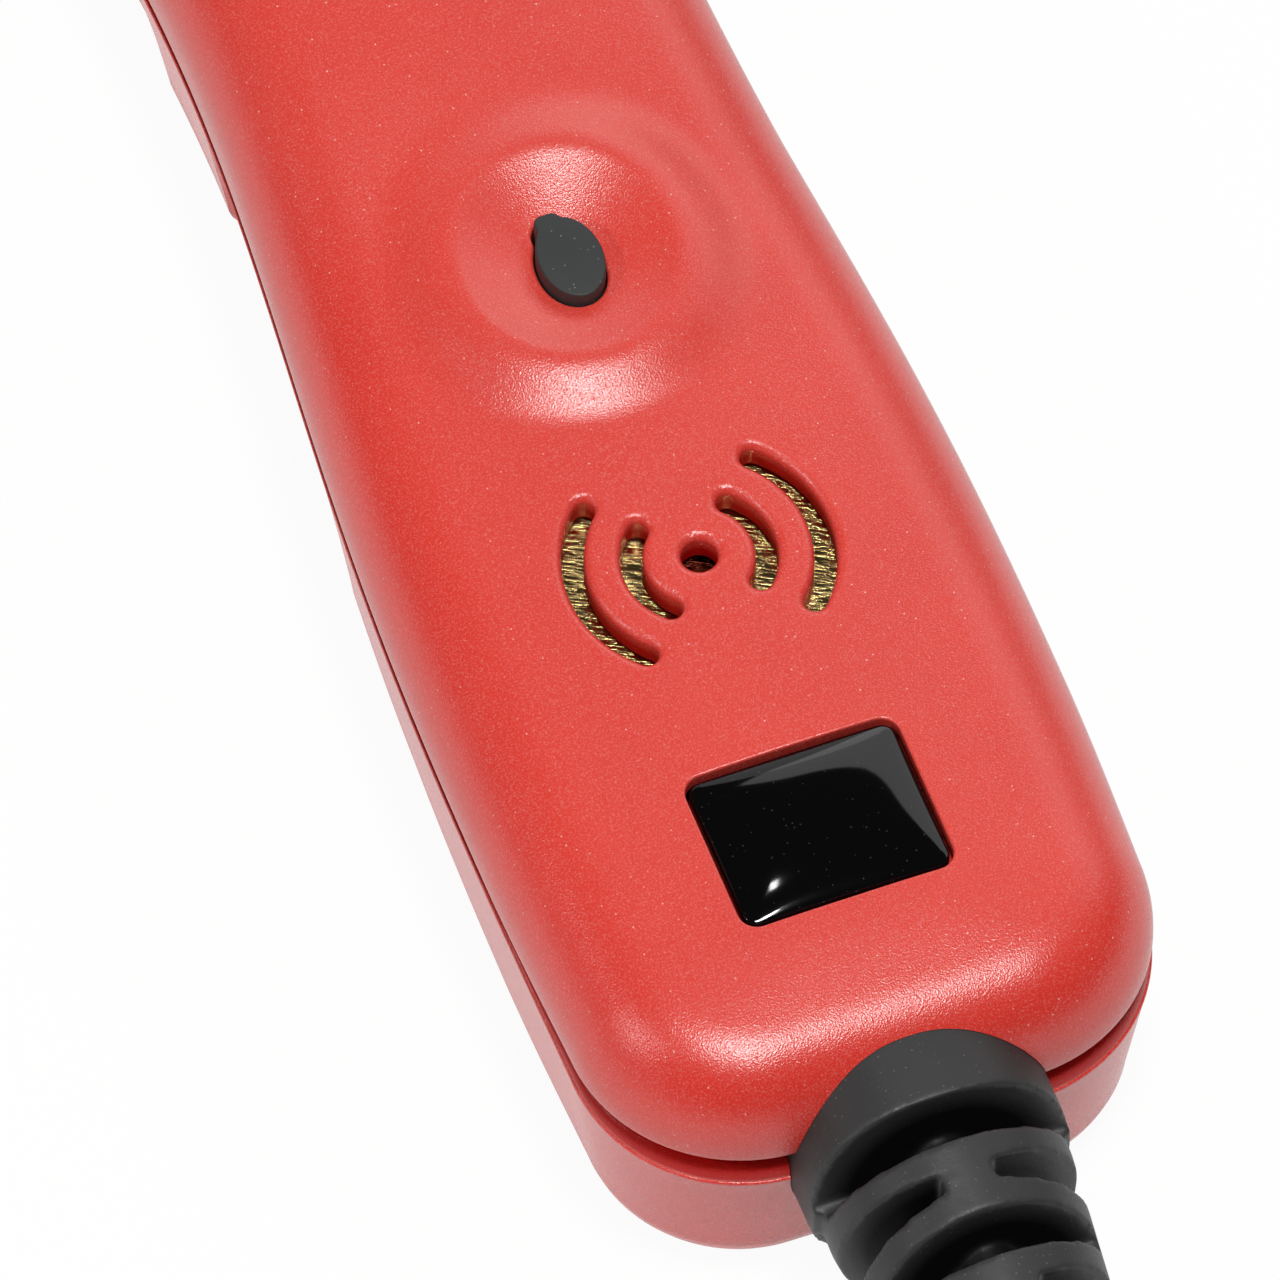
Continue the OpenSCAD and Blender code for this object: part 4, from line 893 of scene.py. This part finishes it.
def red_abs():
    """ABS moulded in a spark-eroded tool: a satin red, its fine grain glittering where light glances off."""
    made, tree, shader, place_at = finish_named("red_abs_spark_eroded")
    shader.inputs["IOR"].default_value = RED_IOR
    cloud = add(tree, "TexNoise", {"Vector": place_at, "Scale": per_mm(CLOUD), "Detail": 3.0})
    fine = add(tree, "TexNoise", {"Vector": place_at, "Scale": per_mm(GRAIN), "Detail": 3.0,
                                  "Roughness": 0.7})
    beads = add(tree, "TexVoronoi", {"Vector": place_at, "Scale": per_mm(GRAIN)})
    domed = add(tree, "Math", {0: beads.outputs["Distance"], 1: beads.outputs["Distance"],
                               2: fine.outputs["Fac"]}, operation="MULTIPLY_ADD")
    cells = add(tree, "TexVoronoi", {"Vector": place_at, "Scale": per_mm(PIMPLE)})
    pimple = add(tree, "MapRange", {"Value": cells.outputs["Distance"], "From Max": PIMPLE_SIZE,
                                    "To Min": 1.0, "To Max": 0.0}, interpolation_type="SMOOTHSTEP")
    lot = add(tree, "SeparateColor", {"Color": cells.outputs["Color"]})
    chosen = add(tree, "MapRange", {"Value": lot.outputs["Red"], "From Min": PIMPLE_FROM,
                                    "From Max": PIMPLE_FULL})
    sparse = add(tree, "Math", {0: pimple.outputs["Result"], 1: chosen.outputs["Result"]},
                 operation="MULTIPLY")
    height = add(tree, "Math", {0: sparse.outputs["Value"], 1: PIMPLE_UP, 2: domed.outputs["Value"]},
                 operation="MULTIPLY_ADD")
    bump = add(tree, "Bump", {"Height": height.outputs["Value"], "Strength": 1.0,
                              "Distance": GRAIN_DEEP * MM})

    # clouded red, painted paler towards the top as a painted sheen, with painted glints on the grain's tips
    # and pimples
    tone = add(tree, "ValToRGB", {"Fac": cloud.outputs["Fac"]})
    ends = zip(tone.color_ramp.elements, (NOISE_LOW, NOISE_HIGH), ("#DD3328", "#E2382C"))
    for stop, position, code in ends:
        stop.position = position
        stop.color = linear(code)
    # painted glints: the grain's tips and pimples are painted pale, standing in for the sparkle of the lamps
    # off the grain
    tip_glints = add(tree, "MapRange", {"Value": fine.outputs["Fac"], "From Min": TIP_FROM, "From Max": TIP_FULL,
                                  "To Max": TIP_GLINT})
    painted_glints = add(tree, "Math", {0: tip_glints.outputs["Result"], 1: sparse.outputs["Value"]}, operation="MAXIMUM")
    split = add(tree, "SeparateXYZ", {"Vector": place_at})
    # painted sheen: the top is painted paler towards its highest parts, standing in for the white reflection
    # on the upward faces
    painted_sheen = add(tree, "MapRange", {"Value": split.outputs["Z"], "From Min": PAINTED_SHEEN_FROM * MM,
                                    "From Max": PAINTED_SHEEN_FULL * MM, "To Max": PAINTED_SHEEN})
    sheened_tone = add(tree, "MixRGB", {0: painted_sheen.outputs["Result"], 1: tone.outputs["Color"],
                                2: linear("#FFF0DC")})
    glinted_tone = add(tree, "MixRGB", {0: painted_glints.outputs["Value"], 1: sheened_tone.outputs["Color"],
                                   2: linear("#FBC9C2")})

    # painted shade on the walls of the sounder's slots: below the face, within the disc's reach
    away = off_axis(tree, place_at, ACROSS_UPRIGHT, MINUS_SOUNDER)
    near = add(tree, "Math", {0: away, 1: SLOT_REACH * MM}, operation="LESS_THAN")
    low = add(tree, "MapRange", {"Value": split.outputs["Z"], "From Min": (TOP_Z - SLOT_DEEP) * MM,
                                 "From Max": (TOP_Z - SLOT_SHALLOW) * MM, "To Min": 1.0, "To Max": 0.0})
    slot_wall_shade = add(tree, "Math", {0: near.outputs["Value"], 1: low.outputs["Result"]},
                    operation="MULTIPLY")

    # painted shade in the groove between the mouldings: from its floor, which climbs from tail to sides, to
    # the parting line
    ledge = add(tree, "MapRange", {"Value": split.outputs["Y"], "From Min": TAIL_AT * MM,
                                   "From Max": (TAIL_AT + WIDE_Y) * MM,
                                   "To Min": (PART_Z - GROOVE_TAIL + CREASE_R) * MM,
                                   "To Max": (PART_Z - GROOVE_SIDE + CREASE_R) * MM},
                interpolation_type="SMOOTHSTEP")
    over = add(tree, "Math", {0: split.outputs["Z"], 1: ledge.outputs["Result"]}, operation="GREATER_THAN")
    under = add(tree, "Math", {0: split.outputs["Z"], 1: PART_Z * MM}, operation="LESS_THAN")
    seam = add(tree, "Math", {0: over.outputs["Value"], 1: under.outputs["Value"]}, operation="MULTIPLY")
    groove_shade = add(tree, "Math", {0: seam.outputs["Value"], 1: SEAM_SHADE}, operation="MULTIPLY")

    # painted shade: slots and groove alike are painted a deeper red with hardly a shine, standing in for the
    # shade down in them
    painted_shade = add(tree, "Math", {0: slot_wall_shade.outputs["Value"], 1: groove_shade.outputs["Value"]},
               operation="MAXIMUM")
    colour = add(tree, "MixRGB", {0: painted_shade.outputs["Value"], 1: glinted_tone.outputs["Color"],
                                  2: linear("#C41410")})
    shine = add(tree, "MapRange", {"Value": painted_shade.outputs["Value"], "To Min": RED_SPECULAR,
                                   "To Max": SHADED_SPECULAR})
    gloss = add(tree, "MapRange", {"Value": fine.outputs["Fac"], "From Min": NOISE_LOW,
                                   "From Max": NOISE_HIGH, "To Min": RED_GLOSS[0], "To Max": RED_GLOSS[1]})
    feed(tree, shader, Base_Color=colour.outputs["Color"], Roughness=gloss.outputs["Result"],
         Specular_IOR_Level=shine.outputs["Result"], Normal=bump.outputs["Normal"])
    return made


# brass sheet, sizes in mm: its scratches' pitch, how many times longer than that they run and which way, in
# degrees; the sheet's slow waves, over the scratches' own depth; the radius of the painted shadow under the
# middle hole, and its soft edge
SCRATCH = 0.14
SCRATCH_LONG = 12.0
SCRATCH_TURN = 30.0
SCRATCH_FROM = 0.5
SCRATCH_FULL = 0.75
SCRATCH_DEEP = 0.025
WAVE_LONG = 3.0
WAVE = 1.5
HOLE_SHADE_R = 2.6
HOLE_SHADE_SOFT = 0.8
BRASS_GLOSS = (0.12, 0.2)


def scratched_brass():
    """Brass sheet brushed one way: it mirrors the slots' red walls and glints in long streaks."""
    made, tree, shader, place_at = finish_named("scratched_brass_sheet")
    shader.inputs["Metallic"].default_value = 1.0
    turned = add(tree, "VectorRotate", {"Vector": place_at, "Angle": math.radians(SCRATCH_TURN)},
                 rotation_type="Z_AXIS")
    drawn = add(tree, "VectorMath", {0: turned.outputs["Vector"], 1: (1 / SCRATCH_LONG, 1.0, 1.0)},
                operation="MULTIPLY")
    lines = add(tree, "TexNoise", {"Vector": drawn.outputs["Vector"], "Scale": per_mm(SCRATCH),
                                   "Detail": 3.0})
    broad = add(tree, "TexNoise", {"Vector": place_at, "Scale": per_mm(WAVE_LONG), "Detail": 2.0})
    tone = add(tree, "ValToRGB", {"Fac": broad.outputs["Fac"]})
    for stop, code in zip(tone.color_ramp.elements, ("#AE9560", "#D2B87E")):
        stop.color = linear(code)
    # painted shadow: the brass under the middle hole is painted dark brown, for the shade down that narrow
    # hole
    away = off_axis(tree, place_at, ACROSS_UPRIGHT, MINUS_SOUNDER)
    hole_shade = add(tree, "MapRange", {"Value": away, "From Min": HOLE_SHADE_R * HOLE_SHADE_SOFT * MM,
                                   "From Max": HOLE_SHADE_R * MM, "To Min": 1.0, "To Max": 0.0})
    shaded_brass = add(tree, "MixRGB", {0: hole_shade.outputs["Result"], 1: tone.outputs["Color"],
                                 2: linear("#4A1D12")})
    gloss = add(tree, "MapRange", {"Value": lines.outputs["Fac"], "From Min": NOISE_LOW,
                                   "From Max": NOISE_HIGH, "To Min": BRASS_GLOSS[0],
                                   "To Max": BRASS_GLOSS[1]})
    cuts = add(tree, "MapRange", {"Value": lines.outputs["Fac"], "From Min": SCRATCH_FROM,
                                  "From Max": SCRATCH_FULL})
    wave = add(tree, "Math", {0: broad.outputs["Fac"], 1: WAVE, 2: cuts.outputs["Result"]},
               operation="MULTIPLY_ADD")
    bump = add(tree, "Bump", {"Height": wave.outputs["Value"], "Strength": 1.0,
                              "Distance": SCRATCH_DEEP * MM})
    feed(tree, shader, Base_Color=shaded_brass.outputs["Color"], Roughness=gloss.outputs["Result"],
         Normal=bump.outputs["Normal"])
    return made


# dust on a plain finish: pitch in mm, size in its cell, and the share of the cells that stay clean
DUST = 0.5
DUST_SIZE = 0.16
DUST_CLEAN = 0.55
# how far its colour and roughness go to each side, and how much broader than the grain its mottling is
TONES = (0.86, 1.14)
GLOSSES = (0.88, 1.12)
BROAD = 20


def plain(name, code, rough, metal=0.0, grain_mm=0.3, depth_mm=0.006, sheen=0.5, dust=0.0):
    """A finish with slight mottling of its colour and gloss, a fine grain and specks of dust."""
    made, tree, shader, place_at = finish_named(name)
    shader.inputs["Metallic"].default_value = metal
    shader.inputs["Specular IOR Level"].default_value = sheen
    noise = add(tree, "TexNoise", {"Vector": place_at, "Scale": per_mm(grain_mm), "Detail": 3.0})
    broad = add(tree, "TexNoise", {"Vector": place_at, "Scale": per_mm(grain_mm * BROAD), "Detail": 2.0})
    tone = add(tree, "ValToRGB", {"Fac": broad.outputs["Fac"]})
    for stop, share in zip(tone.color_ramp.elements, TONES):
        stop.color = [min(1, c * share) for c in linear(code)[:3]] + [1.0]
    gloss = add(tree, "MapRange", {"Value": noise.outputs["Fac"], "From Min": NOISE_LOW,
                                   "From Max": NOISE_HIGH, "To Min": rough * GLOSSES[0],
                                   "To Max": min(1, rough * GLOSSES[1])})
    bump = add(tree, "Bump", {"Height": noise.outputs["Fac"], "Strength": 0.6, "Distance": depth_mm * MM})
    cells = add(tree, "TexVoronoi", {"Vector": place_at, "Scale": per_mm(DUST)})
    speck = add(tree, "MapRange", {"Value": cells.outputs["Distance"], "From Max": DUST_SIZE,
                                   "To Min": dust, "To Max": 0.0})
    lot = add(tree, "SeparateColor", {"Color": cells.outputs["Color"]})
    chosen = add(tree, "Math", {0: lot.outputs["Red"], 1: DUST_CLEAN}, operation="GREATER_THAN")
    amount = add(tree, "Math", {0: speck.outputs["Result"], 1: chosen.outputs["Value"]},
                 operation="MULTIPLY")
    dusty = add(tree, "MixRGB", {0: amount.outputs["Value"], 1: tone.outputs["Color"],
                                 2: linear("#C9C9C6")})
    feed(tree, shader, Base_Color=dusty.outputs["Color"], Roughness=gloss.outputs["Result"],
         Normal=bump.outputs["Normal"])
    return made


# strain relief's painted shade: how far under its outline its slots are painted darker, in mm, how much, and
# its specular levels
SHADE_FROM = 0.6
SHADE_FULL = 2.2
SHADE = 0.85
RUBBER_SPECULAR = 0.5
RUBBER_SHADED = 0.15


def slot_shade(made):
    """Painted shade in the strain relief's slots: darker and duller the farther below its turned outline."""
    tree = made.node_tree
    shader = next(n for n in tree.nodes if n.type == "BSDF_PRINCIPLED")
    tone = shader.inputs["Base Color"].links[0].from_socket
    place_at = next(n for n in tree.nodes if n.type == "TEX_COORD").outputs["Object"]
    radius = off_axis(tree, place_at, (1, 0, 1), (0, 0, -RELIEF_Z * MM))
    split = add(tree, "SeparateXYZ", {"Vector": place_at})
    outline = add(tree, "MapRange", {"Value": split.outputs["Y"], "From Min": (TAIL_AT - RELIEF_L) * MM,
                                     "From Max": (TAIL_AT - CONE_AT) * MM, "To Min": RELIEF_END_R * MM,
                                     "To Max": RELIEF_R * MM})
    below = add(tree, "Math", {0: outline.outputs["Result"], 1: radius}, operation="SUBTRACT")
    shade = add(tree, "MapRange", {"Value": below.outputs["Value"], "From Min": SHADE_FROM * MM,
                                   "From Max": SHADE_FULL * MM, "To Max": SHADE})
    mixed = add(tree, "MixRGB", {0: shade.outputs["Result"], 1: tone, 2: linear("#000000")})
    gleam = add(tree, "MapRange", {"Value": shade.outputs["Result"], "To Min": RUBBER_SPECULAR,
                                   "To Max": RUBBER_SHADED})
    feed(tree, shader, Base_Color=mixed.outputs["Color"], Specular_IOR_Level=gleam.outputs["Result"])
    return made


def finishes():
    """Each slot's finish: its common name, its colour, and how rough it is from 0, mirror, to 1."""
    return {
        "housing_red": red_abs(),
        # dull and softly pitted, with pale dust on it and painted shade in its slots
        "relief_rubber": slot_shade(plain("black_moulded_rubber", "#2E2E2E", 0.5, grain_mm=0.2,
                                          depth_mm=0.02, dust=0.25)),
        # wet-looking black that mirrors the lamps
        "badge_black": plain("black_doming_resin", "#030304", 0.06, grain_mm=3, depth_mm=0.001, dust=0.12),
        # greyer than the badge, dusty, with hardly a shine
        "button_black": plain("black_satin_abs", "#3C3D3D", 0.5, grain_mm=0.2, depth_mm=0.012, sheen=0.25,
                              dust=0.5),
        # even satin black
        "rocker_black": plain("black_rocker_nylon", "#2A2B2C", 0.42, grain_mm=0.25),
        # steels, from greyish plate to the bright turned tip
        "spring_steel": plain("drawn_spring_wire", "#A8A9AB", 0.3, metal=1.0),
        "pin_steel": plain("ground_pin_steel", "#B4B5B7", 0.25, metal=1.0),
        "screw_steel": plain("zinc_plated_steel", "#9A9CA0", 0.35, metal=1.0),
        "tip_steel": plain("turned_steel", "#B9BABC", 0.22, metal=1.0),
        "disc_brass": scratched_brass(),
        # softer yellow than the disc, without its scratches
        "terminal_brass": plain("pressed_brass", "#BE9C52", 0.35, metal=1.0),
        # parts on the board: chalky white, matt black, lacquered tan and glossy green
        "sounder_ceramic": plain("silvered_ceramic", "#D8D4C8", 0.5),
        "component_black": plain("matt_black_moulding", "#1B1C1D", 0.6),
        "resistor_tan": plain("lacquered_ceramic", "#C9A877", 0.4),
        "board_green": plain("green_solder_mask", "#1F5B3A", 0.35),
        # the light: warm cast resin under a milky polished lens
        "led_resin": plain("clear_cast_resin", "#D9C9A0", 0.2),
        "lens_clear": plain("milky_polished_acrylic", "#D4D2CC", 0.12),
    }


def dress(piece, material):
    piece.data.materials.clear()
    piece.data.materials.append(material)


# floor: half its side in metres, and how much of it looks plain white; the rest is paper that takes shadows
FLOOR_HALF = 6.0
FLOOR_WHITE = 0.95

# the white all round lights the object only this much
WORLD_LEVEL = 0.05

# soft boxes, in metres: the way each stands from the aim point, how far off, its two sides, and the level
# that it lights a white card to
LAMPS = {
    "key_box": ((-0.013, -0.20, 0.98), 1.0, (0.2, 0.2), 0.77),
    "head_panel": ((0.19, 0.92, 0.42), 1.2, (1.2, 0.5), 0.09),
    "right_panel": ((0.609, 0.548, 0.574), 1.1, (1.2, 0.6), 0.22),
    "left_panel": ((-0.95, -0.05, 0.2), 1.2, (1.5, 0.5), 0.05),
    "left_box": ((-0.789, 0.081, 0.608), 1.0, (0.08, 0.08), 0.16),
    "small_box": ((0.041, 0.2625, 0.964), 1.0, (0.03, 0.05), 0.014),
}

# camera: its axes and scale, worked out from the badge, slots and button in the photograph; where it aims, in
# mm; and how far off it stands, in metres
CAMERA_RIGHT = Vector((0.9337, -0.3577, 0.00995))
CAMERA_UP = Vector((0.3008, 0.7997, 0.5194))
AIM = Vector((-6.891, 40.83, TOP_Z))
DISTANCE = 3.0
SENSOR = 36
CLIP_NEAR = 0.1
CLIP_FAR = 50
IMAGE_SIDE = 1280
PIXELS_A_MM = 13.37
FRAME_MM = IMAGE_SIDE / PIXELS_A_MM


def floor():
    """White paper sweep: the eye sees it white, and it keeps a soft shadow."""
    bm = bmesh.new()
    bmesh.ops.create_grid(bm, x_segments=1, y_segments=1, size=FLOOR_HALF)
    sheet = new_object("paper_floor", bm)
    made = bpy.data.materials.new("white_paper_floor")
    made.use_nodes = True
    tree = made.node_tree
    tree.nodes.clear()
    path = add(tree, "LightPath")
    eyes = add(tree, "Math", {0: path.outputs["Is Camera Ray"], 1: path.outputs["Is Glossy Ray"]},
               operation="MAXIMUM")
    seen = add(tree, "Math", {0: eyes.outputs["Value"], 1: FLOOR_WHITE}, operation="MULTIPLY")
    paper = add(tree, "BsdfDiffuse", {"Color": linear("#F4F4F2")})
    white = add(tree, "Emission", {"Color": linear("#FFFFFF"), "Strength": 1.0})
    both = add(tree, "MixShader", {0: seen.outputs["Value"], 1: paper.outputs["BSDF"],
                                   2: white.outputs["Emission"]})
    add(tree, "OutputMaterial", {"Surface": both.outputs["Shader"]})
    dress(sheet, made)


def lamp(name, way, distance, size, level_white, aim):
    """A soft box that stands off the aim point and lights a white card there to the level given."""
    light = bpy.data.lights.new(name, "AREA")
    light.shape = "RECTANGLE"
    light.size, light.size_y = size
    light.energy = level_white * math.pi ** 2 * distance ** 2
    stand = bpy.data.objects.new(name, light)
    bpy.context.scene.collection.objects.link(stand)
    back = Vector(way).normalized()
    stand.location = aim + back * distance
    stand.rotation_euler = back.to_track_quat("Z", "Y").to_euler()
    stand.visible_camera = False


def world():
    """White all round to the camera, and only a weak even light on the object."""
    made = bpy.data.worlds.new("white_studio")
    bpy.context.scene.world = made
    made.use_nodes = True
    tree = made.node_tree
    tree.nodes.clear()
    path = add(tree, "LightPath")
    strength = add(tree, "MapRange", {"Value": path.outputs["Is Camera Ray"], "To Min": WORLD_LEVEL,
                                      "To Max": 1.0})
    sky = add(tree, "Background", {"Color": linear("#FFFFFF"), "Strength": strength.outputs["Result"]})
    add(tree, "OutputWorld", {"Surface": sky.outputs["Background"]})


def camera(aim):
    """A camera that frames the same square of the object as the photograph, from the same side."""
    eye = bpy.data.cameras.new("studio_camera")
    eye.sensor_width = SENSOR
    eye.lens = eye.sensor_width * DISTANCE / (FRAME_MM * MM)
    eye.clip_start, eye.clip_end = CLIP_NEAR, CLIP_FAR
    stand = bpy.data.objects.new("studio_camera", eye)
    bpy.context.scene.collection.objects.link(stand)
    back = CAMERA_RIGHT.cross(CAMERA_UP).normalized()
    up = back.cross(CAMERA_RIGHT).normalized()
    right = up.cross(back)
    turn = Matrix((right, up, back)).transposed().to_4x4()
    stand.matrix_world = Matrix.Translation(aim + back * DISTANCE) @ turn
    bpy.context.scene.camera = stand


def main():
    made = finishes()
    slots = {part["node"]: part["material_slot"] for part in frame["record"]["subparts"]}
    for node, slot in slots.items():
        dress(frame["nodes"][node], made[slot])
    for piece, node, body in (
        (make_upper(), "upper_moulding", "housing"),
        (make_lower(), "lower_moulding", "housing"),
        (make_badge(), "badge", "housing"),
        (make_button(), "reset_button", "button"),
        (rounded_copy("relief_boot", "strain_relief", voxel=0.26, passes=3), "strain_relief", "housing"),
        (edged_copy("rocker_paddle", "rocker_cap", radius=0.4), "rocker_cap", "rocker"),
        (edged_copy("rocker_bezel", "rocker_frame", radius=0.3), "rocker_frame", "housing"),
    ):
        dress(piece, made[slots[node]])
        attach(piece, body)
        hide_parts(node)
    aim = (AIM + Vector((0, TAIL_AT, 0))) * MM
    camera(aim)
    floor()
    world()
    for name, (way, distance, size, level_white) in LAMPS.items():
        lamp(name, way, distance, size, level_white, aim)
    bpy.context.scene.view_settings.view_transform = "Standard"


main()
